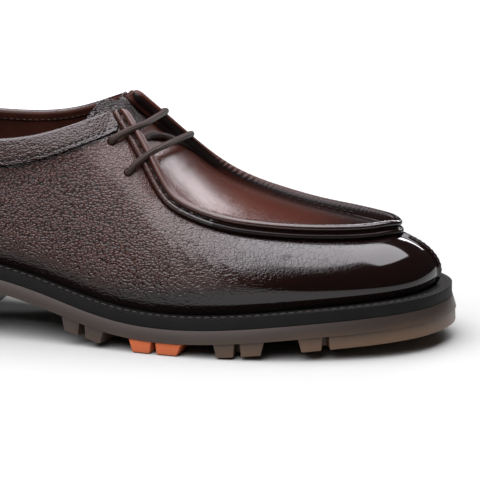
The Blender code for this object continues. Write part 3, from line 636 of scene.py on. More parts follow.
def ring_round(side, other, sides):
    """Directions all round an axis that is square to side and other."""
    angles = (np.arange(sides) * 2 * np.pi / sides)[:, None]
    return np.cos(angles) * side[..., None, :] + np.sin(angles) * other[..., None, :]


def prism_faces(count):
    """Faces of a closed bar with this many corners at each end."""
    sides = [(i, (i + 1) % count, count + (i + 1) % count, count + i) for i in range(count)]
    return sides + [tuple(range(count))[::-1], tuple(range(count, 2 * count))]


def merged(shapes):
    """Several shapes' points and faces as one list of each."""
    points, faces = [], []
    for shape_points, shape_faces in shapes:
        shift = sum(len(p) for p in points)
        points.append(np.asarray(shape_points, float))
        faces += [tuple(int(i) + shift for i in f) for f in shape_faces]
    return np.concatenate(points), faces


def add_mesh(name, points, faces, finishes, slots=None, values=None, sharp=50):
    """A mesh object from points in shoe millimetres, with its faces turned outward."""
    mesh = bpy.data.meshes.new(name)
    places = ((np.asarray(points, float) - ORIGIN) * MM).tolist()
    mesh.from_pydata(places, [], [tuple(f) for f in faces])
    for finish in finishes:
        mesh.materials.append(finish)
    if slots is not None:
        mesh.polygons.foreach_set("material_index", np.asarray(slots, np.int32))
    for key, value in (values or {}).items():
        layer = mesh.attributes.new(key, "FLOAT", "POINT")
        layer.data.foreach_set("value", np.asarray(value, np.float32))
    shaped = bmesh.new()
    shaped.from_mesh(mesh)
    if shaped.calc_volume(signed=True) < 0:
        bmesh.ops.reverse_faces(shaped, faces=shaped.faces)
    shaped.to_mesh(mesh)
    shaped.free()
    mesh.shade_smooth()
    mesh.set_sharp_from_angle(angle=np.radians(sharp))
    made = bpy.data.objects.new(name, mesh)
    bpy.context.scene.collection.objects.link(made)
    return made


def settle(made, sharp=50):
    """The object's modifiers turned into plain mesh."""
    graph = bpy.context.evaluated_depsgraph_get()
    mesh = bpy.data.meshes.new_from_object(made.evaluated_get(graph), depsgraph=graph)
    made.modifiers.clear()
    made.data = mesh
    mesh.shade_smooth()
    mesh.set_sharp_from_angle(angle=np.radians(sharp))
    return made


def soften(made, width, segments=2, angle=30):
    """Round the sharp edges of an object."""
    bevel = made.modifiers.new("rounded_edges", "BEVEL")
    bevel.width = width * MM
    bevel.segments = segments
    bevel.limit_method = "ANGLE"
    bevel.angle_limit = np.radians(angle)
    return settle(made)


def combine(made, helper, operation):
    """Join or cut an object with a helper, which is then removed."""
    step = made.modifiers.new(helper.name, "BOOLEAN")
    step.operation = operation
    step.solver = "EXACT"
    step.object = helper
    settle(made)
    bpy.data.objects.remove(helper, do_unlink=True)
    return made


def finished(made, slot, *nodes):
    """Hand a piece to the shoe: it rides on its only body and stands for the named solids."""
    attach(made, "root")
    if nodes:
        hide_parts(*nodes)
    return made


class Value:
    """One output of a material's nodes. Arithmetic on it adds Math nodes."""

    def __init__(self, finish, socket):
        self.finish = finish
        self.socket = socket

    def math(self, operation, *operands):
        return self.finish.node("ShaderNodeMath", {"operation": operation}, dict(enumerate(operands)))

    def __add__(self, other):
        return self.math("ADD", self, other)

    def __radd__(self, other):
        return self.math("ADD", other, self)

    def __sub__(self, other):
        return self.math("SUBTRACT", self, other)

    def __rsub__(self, other):
        return self.math("SUBTRACT", other, self)

    def __mul__(self, other):
        return self.math("MULTIPLY", self, other)

    def __rmul__(self, other):
        return self.math("MULTIPLY", other, self)

    def sine(self):
        return self.math("SINE", self)

    def above(self, other):
        return self.math("MAXIMUM", self, other)

    def below(self, other):
        return self.math("MINIMUM", self, other)

    def step(self, low, high):
        """A soft step from 0 at low to 1 at high."""
        sockets = {"Value": self, "From Min": low, "From Max": high}
        return self.finish.node("ShaderNodeMapRange", {"interpolation_type": "SMOOTHSTEP"}, sockets)


class Finish:
    """A material under construction."""

    def __init__(self, name, **constants):
        self.material = bpy.data.materials.new(name)
        self.material.use_nodes = True
        self.tree = self.material.node_tree
        self.shader = self.tree.nodes["Principled BSDF"]
        for key, value in constants.items():
            self.shader.inputs[key.replace("_", " ")].default_value = value

    def fill(self, socket, value):
        if isinstance(value, Value):
            self.tree.links.new(value.socket, socket)
        else:
            socket.default_value = value

    def node(self, kind, settings=None, sockets=None, output=0):
        """One node: its settings are set first, then the values or links of its sockets."""
        made = self.tree.nodes.new(kind)
        for key, value in (settings or {}).items():
            setattr(made, key, value)
        for key, value in (sockets or {}).items():
            self.fill(made.inputs[key], value)
        return Value(self, made.outputs[output])

    def place(self):
        return self.node("ShaderNodeTexCoord", output="Object")

    def painted(self, name):
        """A value that the mesh carries at each of its points."""
        return self.node("ShaderNodeAttribute", {"attribute_name": name}, output="Fac")

    def stretched(self, vector, scale, turn=(0.0, 0.0, 0.0)):
        return self.node("ShaderNodeMapping", {}, {"Vector": vector, "Rotation": turn, "Scale": scale})

    def noise(self, vector, scale, detail=2.0, rough=0.5):
        sockets = {"Vector": vector, "Scale": scale, "Detail": detail, "Roughness": rough}
        return self.node("ShaderNodeTexNoise", {}, sockets)

    def wandered(self, vector, scale, amount):
        """The vector pushed about by a noise, so that a pattern on it loses its straight lines."""
        sockets = {"Vector": vector, "Scale": scale, "Detail": 2.0}
        push = self.node("ShaderNodeTexNoise", {}, sockets, "Color")
        half = self.node("ShaderNodeVectorMath", {"operation": "SUBTRACT"}, {0: push, 1: (0.5, 0.5, 0.5)})
        scaled = self.node("ShaderNodeVectorMath", {"operation": "SCALE"}, {0: half, "Scale": amount})
        return self.node("ShaderNodeVectorMath", {"operation": "ADD"}, {0: vector, 1: scaled})

    def cells(self, vector, scale, feature="DISTANCE_TO_EDGE"):
        return self.node("ShaderNodeTexVoronoi", {"feature": feature}, {"Vector": vector, "Scale": scale})

    def blend(self, share, first, second):
        """A colour between two others."""
        return self.node("ShaderNodeMix", {"data_type": "RGBA"}, {0: share, 6: first, 7: second}, 2)

    def raised(self, height, depth, strength=1.0):
        """The surface's direction with a relief of this depth in millimetres."""
        sockets = {"Height": height, "Distance": depth * MM, "Strength": strength}
        return self.node("ShaderNodeBump", {}, sockets)

    def done(self, **sockets):
        """Set or link the shader's sockets and return the material."""
        for key, value in sockets.items():
            self.fill(self.shader.inputs[key.replace("_", " ")], value)
        return self.material


def rgba(colour):
    return (*colour, 1.0)


def toned(colour, share):
    """A colour made darker or lighter by a share."""
    return tuple(min(1.0, c * share) for c in colour)


def grain_leather(name, colours, size, gloss):
    """Pebbled leather, burnished towards the toe and along its seams where the mesh says so; the same mesh
    mark also paints shade near the welt, under the band and in the seam's groove.
    """
    finish = Finish(name, Coat_Roughness=0.08, Specular_IOR_Level=gloss)
    place = finish.place()
    spot = finish.wandered(place, 110.0, 0.0022)
    rows = finish.stretched(spot, (0.56, 0.8, 1.0), (0.0, 0.2, 0.0))
    from_middle = finish.cells(rows, 1 / size, "F1")
    dome = from_middle * from_middle * 1.6
    pebble = 1 - dome * 0.6 - dome * dome * 0.5
    gap = 1 - finish.cells(rows, 1 / size).step(0.0, 0.17)
    fold = finish.noise(finish.stretched(spot, (0.3, 0.6, 1.0), (0.0, 0.2, 0.0)), 0.5 / size, 2.0)
    fine = finish.cells(finish.wandered(place, 300.0, 0.0008), 1.35 / size, "F1")
    cloud = finish.noise(place, 38.0, 3.0)
    burnish = finish.painted("burnish")
    grain = finish.painted("grain")
    crackle = finish.painted("crackle")
    tall = finish.stretched(finish.wandered(place, 160.0, 0.0016), (1.0, 0.7, 0.45), (0.0, -0.35, 0.0))
    crack = (1 - finish.cells(tall, 0.34 / size).step(0.0, 0.06)) * crackle
    mellow = finish.blend(cloud.step(0.35, 0.7), rgba(colours.leather), rgba(colours.leather_light))
    # Blend towards the dark colour by the mesh's mark: burnish, and painted shade where the mesh marks it
    burnish_and_shade_colour = finish.blend((burnish + (cloud - 0.5) * 0.2).step(0.0, 1.0), mellow, rgba(colours.burnish))
    lines = (gap * 1.3 + (0.5 - fold) * 1.5).above(0.0) * grain + gap * crackle * 0.4 + crack * 0.8
    shade = finish.blend(lines.below(1.0), burnish_and_shade_colour, rgba(colours.burnish))
    rough = 0.22 - burnish * 0.15 + gap * (grain + crackle) * 0.2 + crack * 0.3
    height = (pebble * 0.85 + fold * 0.85) * grain - fine * fine * 0.22 * (1 - burnish)
    height = height - gap * crackle * 0.02 - crack * 0.02
    broken = (gap * crackle + crack).below(1.0)
    sheen = ((burnish - 0.6).above(0.0) * 0.4 + crackle * 0.4) * (1 - broken * 0.8)
    return finish.done(
        Base_Color=shade,
        Roughness=rough.above(0.06),
        Coat_Weight=sheen,
        Normal=finish.raised(height, 0.95),
    )


def apron_leather(name, colours, gloss):
    """Smooth calf of the apron: warm in the middle, burnished darker towards the toe, and with painted shade
    in the creases at its seams.
    """
    finish = Finish(name, Specular_IOR_Level=gloss)
    place = finish.place()
    cloud = finish.noise(place, 45.0, 4.0)
    pore = finish.cells(finish.wandered(place, 400.0, 0.0006), 1050.0, "F1")
    line = finish.noise(finish.stretched(place, (0.3, 1.0, 1.0)), 420.0, 3.0)
    burnish = finish.painted("burnish")
    grain = finish.painted("grain")
    warm = finish.blend(cloud.step(0.3, 0.7), rgba(colours.apron), rgba(colours.apron_light))
    shade = finish.blend((burnish + (cloud - 0.5) * 0.3).step(0.0, 1.0), warm, rgba(colours.apron_dark))
    height = line * 0.08 - pore * pore
    return finish.done(
        Base_Color=shade,
        Roughness=0.2 - burnish * 0.06 + (line - 0.5) * 0.08 + grain * 0.22,
        Normal=finish.raised(height, 0.045),
    )


def plain_leather(name, colour, rough, relief):
    """Smooth leather of linings and dressed edges."""
    finish = Finish(name, Specular_IOR_Level=0.2)
    place = finish.place()
    cloud = finish.noise(place, 70.0, 4.0)
    pore = finish.cells(finish.wandered(place, 300.0, 0.001), 1100.0)
    shade = finish.blend(cloud.step(0.3, 0.75), rgba(colour), rgba(toned(colour, 0.6)))
    height = pore.step(0.0, 0.25) * 0.6 + finish.noise(place, 700.0, 3.0)
    return finish.done(
        Base_Color=shade,
        Roughness=rough + (cloud - 0.5) * 0.16,
        Normal=finish.raised(height, relief),
    )


def rubber(name, colour, glow, rough):
    """Moulded rubber, painted lighter and warmer towards the tread: a painted glow that stands for light let
    through it.
    """
    finish = Finish(name, Specular_IOR_Level=0.3)
    place = finish.place()
    cloud = finish.noise(place, 30.0, 3.0)
    depth = finish.painted("depth")
    # Painted glow: lighter and warmer where the mark is high, near the tread and the toe
    warm = (depth + (cloud - 0.5) * 0.35).step(0.1, 1.05)
    shade = finish.blend(warm, rgba(colour), rgba(glow))
    height = finish.noise(place, 900.0, 2.0) * 0.4 + finish.noise(place, 160.0, 2.0)
    return finish.done(
        Base_Color=shade,
        Roughness=rough + (cloud - 0.5) * 0.14,
        Normal=finish.raised(height, 0.09),
    )


def waxed_cord(name, colour):
    """Round braid with a waxed surface; its strands follow the cord's own map."""
    finish = Finish(name, Specular_IOR_Level=0.25)
    around = finish.node("ShaderNodeUVMap", {"uv_map": "braid"})
    u, v = (finish.node("ShaderNodeSeparateXYZ", {}, {0: around}, axis) * FULL_TURN for axis in "XY")
    strands = (u * 5 + v * 0.62).sine() * (u * 5 - v * 0.62).sine()
    dust = finish.noise(finish.place(), 500.0, 3.0)
    # Painted shade and highlight: darker in the braid's low gaps and lighter on its raised strands, following
    # the same pattern as the relief
    shade = finish.blend((strands * 0.8 + dust * 0.9).step(0.0, 1.1), rgba(colour), rgba(toned(colour, 2.4)))
    return finish.done(
        Base_Color=shade,
        Roughness=0.36 + dust * 0.16,
        Normal=finish.raised(strands * 0.6 + dust * 0.4, 0.3),
    )


def thread(name, colour):
    finish = Finish(name, Specular_IOR_Level=0.12)
    twist = finish.noise(finish.stretched(finish.place(), (1.0, 1.0, 2.0)), 2600.0, 2.0)
    shade = finish.blend(twist.step(0.3, 0.7), rgba(toned(colour, 0.55)), rgba(colour))
    return finish.done(Base_Color=shade, Roughness=0.6 + twist * 0.1, Normal=finish.raised(twist, 0.08))


def pale_floor():
    """A plain studio floor, paler towards the back where less light falls on it."""
    finish = Finish("pale_floor", Roughness=0.7, Specular_IOR_Level=0.1)
    away = finish.node("ShaderNodeSeparateXYZ", {}, {0: finish.place()}, "Y")
    return finish.done(Base_Color=finish.blend(away.step(0.15, 0.9), rgba(FLOOR_NEAR), rgba(FLOOR_FAR)))


FINISHES = {}


def finishes():
    """Every material of the shoe, made once from the panel's colours."""
    if FINISHES:
        return FINISHES
    colours = bpy.context.scene.shoe_colours
    sizes = bpy.context.scene.shoe_sizes
    FINISHES["wall"] = grain_leather("burnished_and_shaded_grain", colours, sizes.grain, 0.45)
    FINISHES["band"] = grain_leather("band_grain", colours, sizes.grain * 0.8, 0.5)
    FINISHES["apron"] = apron_leather("apron_calf", colours, 0.28)
    FINISHES["gathered"] = apron_leather("gathered_calf", colours, 0.2)
    FINISHES["rolled"] = apron_leather("rolled_calf", colours, 0.6)
    FINISHES["lining"] = plain_leather("lining_calf", colours.lining, 0.5, 0.05)
    FINISHES["welt"] = plain_leather("dressed_welt", colours.welt, 0.6, 0.1)
    FINISHES["rubber"] = rubber("clear_brown_rubber", colours.rubber, colours.rubber_glow, 0.4)
    # The orange blocks' painted glow near the tread is a lighter copy of their colour
    FINISHES["accent"] = rubber("orange_rubber", colours.accent, toned(colours.accent, 1.2), 0.42)
    FINISHES["lace"] = waxed_cord("waxed_braid", colours.lace)
    FINISHES["welt_thread"] = thread("welt_thread", toned(colours.thread, 0.19))
    FINISHES["dark_thread"] = thread("dark_thread", colours.dark_thread)
    return FINISHES


def crease_relief(points):
    """How far the wall sinks at its bending creases."""
    depth = np.zeros(points.shape[:-1])
    for crease in CREASES:
        spot = np.array([crease.station]), np.array([crease.height])
        middle = wall(*spot)[0]
        normal = wall_normal(*spot)[0]
        along = unit(np.cross(normal, [0.0, 0.0, 1.0]))
        rise = np.cross(along, normal)
        turn = np.radians(crease.turn)
        away = points - middle
        down_line = along * np.cos(turn) + rise * np.sin(turn)
        over_line = rise * np.cos(turn) - along * np.sin(turn)
        s = away @ down_line
        t = away @ over_line + 0.012 * s**2
        banks = hump(np.abs(t) - 2.1 * crease.width, crease.width)
        trough = hump(t, crease.width) - 0.55 * banks
        depth += crease.depth * hump(away @ normal, 14.0) * hump(s, crease.length) * trough
    return depth


def toe_seam_relief(points, seam_y):
    """The split toe's closed seam: two stitched ridges with a groove between them."""
    away = np.abs(points[..., 1] - seam_y)
    return 0.95 * hump(away - 1.35, 0.75) - 0.55 * hump(away, 0.5) - 0.2 * hump(away - 3.1, 0.6)


def wall_values(points, station, height):
    """How dark the wall is made, and how deep its grain, at each point: burnished towards the toe, and darker
    towards the welt, partly burnishing and partly painted shade where the wall turns under.
    """
    x = points[..., 0]
    turn = np.abs(signed(station))
    toe = along_shoe(x, WALL_BURNISH)
    # Darker towards the welt: partly burnishing, partly painted shade where the wall turns under towards the
    # welt
    low = 1 - smooth(0.05, 0.42, height)
    seam = smooth(0.9, 1.0, height) * (turn < FACING_TOP)
    heel = 0.3 * (1 - smooth(20, 75, x))
    burnish = np.clip(toe + 0.9 * low + 0.3 * seam + heel, 0, 1)
    grain = along_shoe(x, WALL_GRAIN) * (0.12 + 0.88 * smooth(0.08, 0.42, height))
    facing = smooth(0.6, 0.86, height) * smooth(6.4, 7.2, turn) * (1 - smooth(8.0, 9.4, turn))
    grain *= 1 - 0.82 * facing
    crackle = along_shoe(x, WALL_CRACKLE) * smooth(0.4, 0.62, height)
    flat = smooth(0.4, 0.72, height) * smooth(112, 165, x)
    grain *= 1 - 0.6 * flat
    crackle = np.maximum(crackle, 0.7 * flat * (x < 200))
    return burnish, grain, crackle


def wall_columns():
    front = spaced((0, 0.3, 20), (0.3, 2, 45), (2, 7, 118), (7, FACING_TOP, 42))
    rear = spaced((FACING_TOP, 9.2, 24), (9.2, HEEL_STATION, 64))
    side = np.concatenate([front, rear[1:]])
    return np.concatenate([side, STATIONS_ROUND - side[-2:0:-1]])


def add_upper_wall():
    """Vamp and quarters as one sheet of leather with its lining, open at collar, throat and underneath."""
    columns = wall_columns()
    turn = np.abs(signed(columns))
    roll = TOP_ROLL * smooth(FACING_TOP, ROLL_FULL, turn)
    top = np.where(turn > FACING_TOP, height_below(columns, roll), 1.0)
    share = np.linspace(0, 1, WALL_ROWS)
    share = share + 0.1 * np.sin(2 * np.pi * share) / (2 * np.pi)
    station = np.repeat(columns[:, None], WALL_ROWS, 1)
    height = top[:, None] * share
    points = wall(station, height)
    normal = wall_normal(station, np.clip(height, 0, NEAR_TOP))
    seam_y = wall(np.zeros(WALL_ROWS), share)[:, 1]
    front = np.abs(signed(station)) < TOE_SEAM_REACH
    fade = 1 - smooth(0.9, 1.0, height) * 0.6
    relief = -crease_relief(points)
    relief += np.where(front, toe_seam_relief(points, seam_y) * fade, 0.0)
    relief -= 0.35 * smooth(0.965, 0.995, height) * (np.abs(signed(station)) < FACING_TOP)
    burnish, grain, crackle = wall_values(points, station, height)
    dark_seam = np.where(front, hump(points[..., 1] - seam_y, 0.6), 0.0)
    # Painted shadow: the wall is darkened in a narrow strip just under the band's lower edge
    edge = height_below(columns, band_edges(columns)[1] + 0.4)[:, None]
    band_shadow = hump(height - edge, 0.009) * (turn > BAND[0].station)[:, None]
    burnish = np.clip(burnish + dark_seam + band_shadow, 0, 1)
    points = points + normal * relief[..., None]

    low_height = top[:, None] * np.linspace(0, 1, LINING_ROWS)
    lining = wall_inside(columns[:, None], np.clip(low_height, 0, NEAR_TOP), UPPER_WALL)
    lining[:, 0, 2] = points[:, 0, 2] + 0.4

    count = len(columns)
    outer_faces = grid_faces(count, WALL_ROWS, True)
    inner_faces = grid_faces(count, LINING_ROWS, True)[:, ::-1] + count * WALL_ROWS
    outer_at = np.arange(count * WALL_ROWS).reshape(count, WALL_ROWS)
    inner_at = np.arange(count * LINING_ROWS).reshape(count, LINING_ROWS) + count * WALL_ROWS
    edges = []
    for end, order in ((0, 1), (-1, -1)):
        outer, inner = outer_at[:, end], inner_at[:, end]
        strip = np.stack([outer, inner, np.roll(inner, -1), np.roll(outer, -1)], -1)
        edges.append(strip[:, ::order])
    faces = np.concatenate([outer_faces, *edges, inner_faces])
    slots = np.concatenate([np.zeros(len(outer_faces) + 2 * count), np.ones(len(inner_faces))])
    values = {}
    for name, value, inside in (("burnish", burnish, 1.0), ("grain", grain, 0.0), ("crackle", crackle, 0.0)):
        values[name] = np.append(value, np.full(lining.size // 3, inside))
    kinds = finishes()
    places = np.concatenate([points.reshape(-1, 3), lining.reshape(-1, 3)])
    made = add_mesh("upper_wall", places, faces.tolist(), [kinds["wall"], kinds["lining"]], slots, values)
    punches = []
    for name, side in LACE_HOLES:
        middle, punched = lace_hole(name, side)
        punches.append(round_bar(middle - punched * 6, middle + punched * 6, LACE_HOLE_RADIUS, 20))
    helper = add_mesh("lace_hole_punches", *merged(punches), [kinds["lining"]])
    combine(made, helper, "DIFFERENCE")
    return finished(made, "grain_leather", "upper")


def round_bar(start, end, radius, sides):
    """Points and faces of a capped straight bar."""
    axis = unit(end - start)
    side = unit(np.cross(axis, [0.31, 0.72, 0.62]))
    other = np.cross(axis, side)
    ring = radius * ring_round(side, other, sides)
    return np.concatenate([start + ring, end + ring]), prism_faces(sides)


def lace_hole(name, side):
    """Middle of a lace hole on the wall's outer face, and the direction that it is punched along."""
    hole = LACE_HOLES[name, side]
    station = np.array([side * hole.station])
    height = height_below(station, hole.below)
    return wall(station, height)[0], wall_normal(station, height)[0]


def seam_stations():
    ends = (6, FACING_ROUND, 110), (FACING_ROUND, FACING_TOP, 10)
    side = spaced((0, 0.5, 24), (0.5, 2, 42), (2, 6, 190), *ends)
    return np.concatenate([-side[:0:-1], side])


def seam_relief(station, length):
    """Gathers of the leather where it is drawn over the seam, as small slanting folds on the roll."""
    row = np.linspace(0, 1, SEAM_ROWS)
    medial = smooth(-7.2, -5.8, station) * (1 - smooth(-2.2, -0.8, station))
    lateral = 0.25 * smooth(1.2, 2.5, station) * (1 - smooth(5.0, 6.5, station))
    uneven = 0.15 + 0.07 * np.sin(length / 5.1) * np.sin(length / 3.3)
    far = uneven[:, None] * medial[:, None] * hump(row - 0.74, 0.1)
    near = 0.04 * lateral[:, None] * hump(row - 0.62, 0.13)
    wave = np.sin(2 * np.pi * (length[:, None] / 2.7 + row * 2.4) + 0.9 * np.sin(length[:, None] / 4.3))
    return (far + near) * wave


def add_apron():
    """The apron with its rolled seam and the lip of the wall that it is sewn to."""
    stations = seam_stations()
    section = curve_through([tuple(row) for row in RIDGE], SEAM_ROWS)
    points = ridge_points(stations, section)
    length = runs(CREST_AT(stations))
    out, up, _ = ridge_frame(stations)
    slope = np.gradient(section[:, :2], axis=0)
    away = unit(np.stack([slope[:, 1], -slope[:, 0]], -1))
    away *= np.sign((away * (section[:, :2] - section[:, :2].mean(0))).sum(-1).mean())
    normal = out[:, None] * away[:, 0, None] + up[:, None] * away[:, 1, None]
    points = points + normal * seam_relief(stations, length)[..., None]
    end = np.clip((np.abs(stations) - FACING_ROUND) / (FACING_TOP - FACING_ROUND), 0, 1)
    core = points.mean(1, keepdims=True)
    points = core + (points - core) * (0.3 + 0.7 * np.sqrt(1 - end**2))[:, None, None]
    lining = wall_inside(stations, np.full_like(stations, NEAR_TOP), UPPER_WALL)
    under_crease = points[:, -1] - up * UPPER_WALL
    row = np.linspace(0, 1, SEAM_ROWS)
    under = lining[:, None] * (1 - row[:, None]) + under_crease[:, None] * row[:, None]

    middle = len(stations) // 2
    rows = [i for i in range(middle, len(stations)) if stations[i] <= THROAT_END]
    columns = APRON_COLUMNS
    across = np.linspace(0, 1, columns + 1)
    count = len(stations)
    index = np.full((len(rows), columns + 1), -1)
    crease_at = np.arange(count * SEAM_ROWS).reshape(count, SEAM_ROWS)[:, -1]
    next_index = count * SEAM_ROWS
    plug_station, plug_across = [], []
    for r, i in enumerate(rows):
        index[r, 0] = crease_at[i]
        index[r, -1] = crease_at[2 * middle - i]
        if i == middle:
            index[r] = crease_at[middle]
            continue
        index[r, 1:-1] = next_index + np.arange(columns - 1)
        next_index += columns - 1
        plug_station.append(np.full(columns - 1, stations[i]))
        plug_across.append(across[1:-1])
    plug_station = np.concatenate(plug_station)
    plug_across = np.concatenate(plug_across)
    near_end = smooth(THROAT_START, THROAT_END, plug_station)
    sink = THROAT_SINK * near_end
    whole = np.ones_like(plug_station)
    width = np.linalg.norm(apron(plug_station, whole) - apron(plug_station, 0 * whole), axis=-1)
    edge = np.minimum(plug_across, 1 - plug_across) * width
    hem = 0.5 * hump(edge - 1.2, 1.0) * (plug_station > 0.6)
    plug = apron_inside(plug_station, plug_across, sink + hem)
    outer = np.concatenate([points.reshape(-1, 3), plug])
    inner = np.concatenate([under.reshape(-1, 3), apron_inside(plug_station, plug_across, sink + 1.6)])

    lip = np.tile(np.arange(SEAM_ROWS - 1) < LIP_ROWS, count - 1)
    front = [tuple(f) for f in grid_faces(count, SEAM_ROWS).tolist()]
    faces = front + without_doubles(quads_of(index))
    shell, all_faces = thick(outer, inner, faces)
    slots = np.full(len(all_faces), 2)
    medial_seam = np.repeat(stations[:-1] < -0.6, SEAM_ROWS - 1)
    dark_lip = np.repeat(points[:-1, 0, 0] > DARK_LIP_X, SEAM_ROWS - 1)
    slots[: len(front)] = np.where(lip, np.where(dark_lip, 3, 0), np.where(medial_seam, 3, 4))
    slots[len(front) : len(faces)] = 1

    x = points[..., 0]
    medial = (1 - smooth(-1.6, -0.4, stations))[:, None]
    # Painted shade in the groove between the lip and the roll
    groove = hump(row - 0.327, 0.05) * along_shoe(x, GROOVE_SHADE)
    toe = along_shoe(x, SEAM_BURNISH)
    lip_dark = (1 - smooth(0.2, 0.36, row)) * along_shoe(x, LIP_BURNISH)
    # Painted shade in the crease at the foot of each roll, with a painted shadow line under the medial roll
    near_crease = 0.9 * smooth(0.9, 1.0, row)
    far_crease = hump(row - 0.87, 0.035) + 0.15 * smooth(0.7, 0.82, row)
    # The medial roll's inner face at the throat is darkened nearly to black
    throat = smooth(0.72, 0.82, row) * (1 - smooth(-6.9, -6.2, stations))[:, None]
    crease = near_crease * (1 - medial) + (far_crease + throat) * medial
    seam_burnish_and_shade = np.clip(toe * (1 - 0.1 * medial) + groove + lip_dark + crease, 0, 1)
    # The apron is darker near its edges, with painted shade along the creases fading inwards, and darker
    # towards its medial side
    hem_dark = hump(edge, 1.5) + 0.3 * np.exp(-edge / 7.0)
    far = 0.35 * smooth(0.55, 1.0, plug_across)
    plug_burnish_and_shade = np.clip(along_shoe(plug[:, 0], APRON_BURNISH) + hem_dark + far, 0, 1)
    burnish = np.concatenate([seam_burnish_and_shade.ravel(), plug_burnish_and_shade, np.ones(len(inner))])
    lip_grain = 0.08 + 0.3 * (x > DARK_LIP_X)
    roll_grain = medial + 0.6 * smooth(5.2, 6.5, stations)[:, None]
    seam_grain = np.where(row * SEAM_ROWS < LIP_ROWS, lip_grain, roll_grain)
    grain = np.concatenate([seam_grain.ravel(), 0.6 * near_end, np.zeros(len(inner))])
    used = [finishes()[kind] for kind in ("wall", "apron", "lining", "gathered", "rolled")]
    made = add_mesh("apron", shell, all_faces, used, slots, {"burnish": burnish, "grain": grain})
    return finished(made, "grain_leather", "upper")


def band_edges(station):
    """How far below the top line the band begins and ends."""
    knots, upper, lower = np.array(BAND).T
    turn = np.abs(signed(station))
    return np.interp(turn, knots, upper), np.interp(turn, knots, lower)


def band_sheet(stations, high, tab=False):
    """The band's outer face, up to this far below the top line. A tab is rounded at all its edges."""
    low = band_edges(stations)[1]
    share = np.linspace(1, 0, BAND_ROWS)
    distance = high[:, None] + (low - high)[:, None] * share
    height = height_below(stations[:, None], distance)
    base = wall(stations[:, None], height)
    normal = wall_normal(stations[:, None], height)
    edge = low[:, None] - distance
    stitched = hump(edge - BAND_STITCH, 0.6)
    if tab:
        run = np.cumsum(np.linalg.norm(np.diff(base, axis=0, prepend=base[:1]), axis=-1), axis=0)
        edge = np.minimum(edge, np.minimum(run, distance - high[:, None]))
    rounded = round_over(edge, 0.5)
    lift = (GAP + BAND_WALL) * rounded * 0.92 + 0.08 - 0.1 * stitched * rounded
    # Painted shade along the band's cut edges, where they lie on the wall, and darker along its stitch line
    dark = np.clip(0.95 * hump(edge, 0.8) + 0.3 * stitched, 0, 1)
    return base, normal, lift, dark


def add_collar_band():
    """The strip sewn round the collar, drawn over the top line and a little way down inside."""
    tabs = []
    for side in (1, -1):
        front = side * spaced((BAND[0].station, BAND_JOINT, 30))
        base, normal, lift, dark = band_sheet(front, band_edges(front)[0], True)
        tabs.append((base + normal * lift[..., None], base - normal * BAND_SINK, dark))
    stations = spaced((BAND_JOINT, 8.6, 16), (8.6, 9.4, 30), (9.4, HEEL_STATION, 90))
    stations = np.concatenate([stations, STATIONS_ROUND - stations[-2::-1]])
    turn = np.abs(signed(stations))
    rolled = smooth(FACING_TOP, ROLL_FULL, turn)
    roll = np.maximum(TOP_ROLL * rolled, band_edges(stations)[0])
    base, normal, lift, dark = band_sheet(stations, roll)
    outer = base + normal * lift[..., None]

    top = base[:, -1]
    top_normal = normal[:, -1]
    rise = unit(wall(stations, np.ones_like(stations)) - wall(stations, height_below(stations, 3.0)))
    rise *= (rolled * (TOP_ROLL + 0.1))[:, None]
    outer_lift = lift[:, -1]
    inner_lift = -UPPER_WALL - 0.5
    centre = (outer_lift + inner_lift) / 2
    half = (outer_lift - inner_lift) / 2
    arc = []
    for angle in np.radians(np.linspace(15, 180, 12)):
        across = centre + half * np.cos(angle)
        arc.append(top + top_normal * across[:, None] + rise * np.sin(angle))
    arc = np.stack(arc, 1)
    inside_rows = np.linspace(0.6, INSIDE_BINDING, 6)
    inside_height = height_below(stations[:, None], roll[:, None] + inside_rows)
    inside_base = wall(stations[:, None], inside_height)
    inside_normal = wall_normal(stations[:, None], inside_height)
    taper = 0.45 * np.sqrt(np.clip((INSIDE_BINDING - inside_rows) / 1.0, 0, 1))
    inside = inside_base - inside_normal * (UPPER_WALL + 0.06 + taper)[:, None]
    skin = np.concatenate([outer, arc, inside], 1)
    under_arc = arc - (arc - (top + top_normal * centre[:, None])[:, None]) * 0.5
    under_inside = inside_base - inside_normal * (UPPER_WALL - 0.3)
    under = np.concatenate([base - normal * BAND_SINK, under_arc, under_inside], 1)
    count, rows = skin.shape[:2]
    shells = [thick_sheet(skin, under)]
    slots = np.full(len(shells[0][1]), 1)
    on_outside = np.tile(np.arange(rows - 1) < BAND_ROWS + 7, count - 1)
    slots[: len(on_outside)] = np.where(on_outside, 0, 1)
    shade = np.concatenate([dark, np.full((count, rows - BAND_ROWS), 0.1)], 1)
    shades, kept = [shade.ravel(), np.ones(under.size // 3)], [slots]
    for sheet, beneath, edge in tabs:
        shells.append(thick_sheet(sheet, beneath))
        shades += [edge.ravel(), np.ones(edge.size)]
        kept.append(np.zeros(len(shells[-1][1])))
    burnish = np.clip(0.62 + np.concatenate(shades), 0, 1)
    values = {"burnish": burnish, "grain": np.full(len(burnish), 0.13), "crackle": np.zeros(len(burnish))}
    used = [finishes()[kind] for kind in ("band", "lining")]
    made = add_mesh("collar_band_leather", *merged(shells), used, np.concatenate(kept), values)
    return finished(made, "grain_leather", "collar_band")


def tongue_ceiling():
    """The underside of facings and apron that the tongue lies under, as rows across the shoe."""
    stations = spaced((TONGUE_START, FACING_TOP, 9))
    flank = np.linspace(TONGUE_FLANK, 1, 4)
    across = np.linspace(0, 1, 9)
    rows = []
    for station in stations:
        sides = [wall_inside(np.full_like(flank, side * station), flank, UPPER_WALL) for side in (1, -1)]
        middle = apron_inside(np.full_like(across, station), across, UPPER_WALL)
        rows.append(np.concatenate([sides[0], middle, sides[1][::-1]]))
    return np.array(rows)


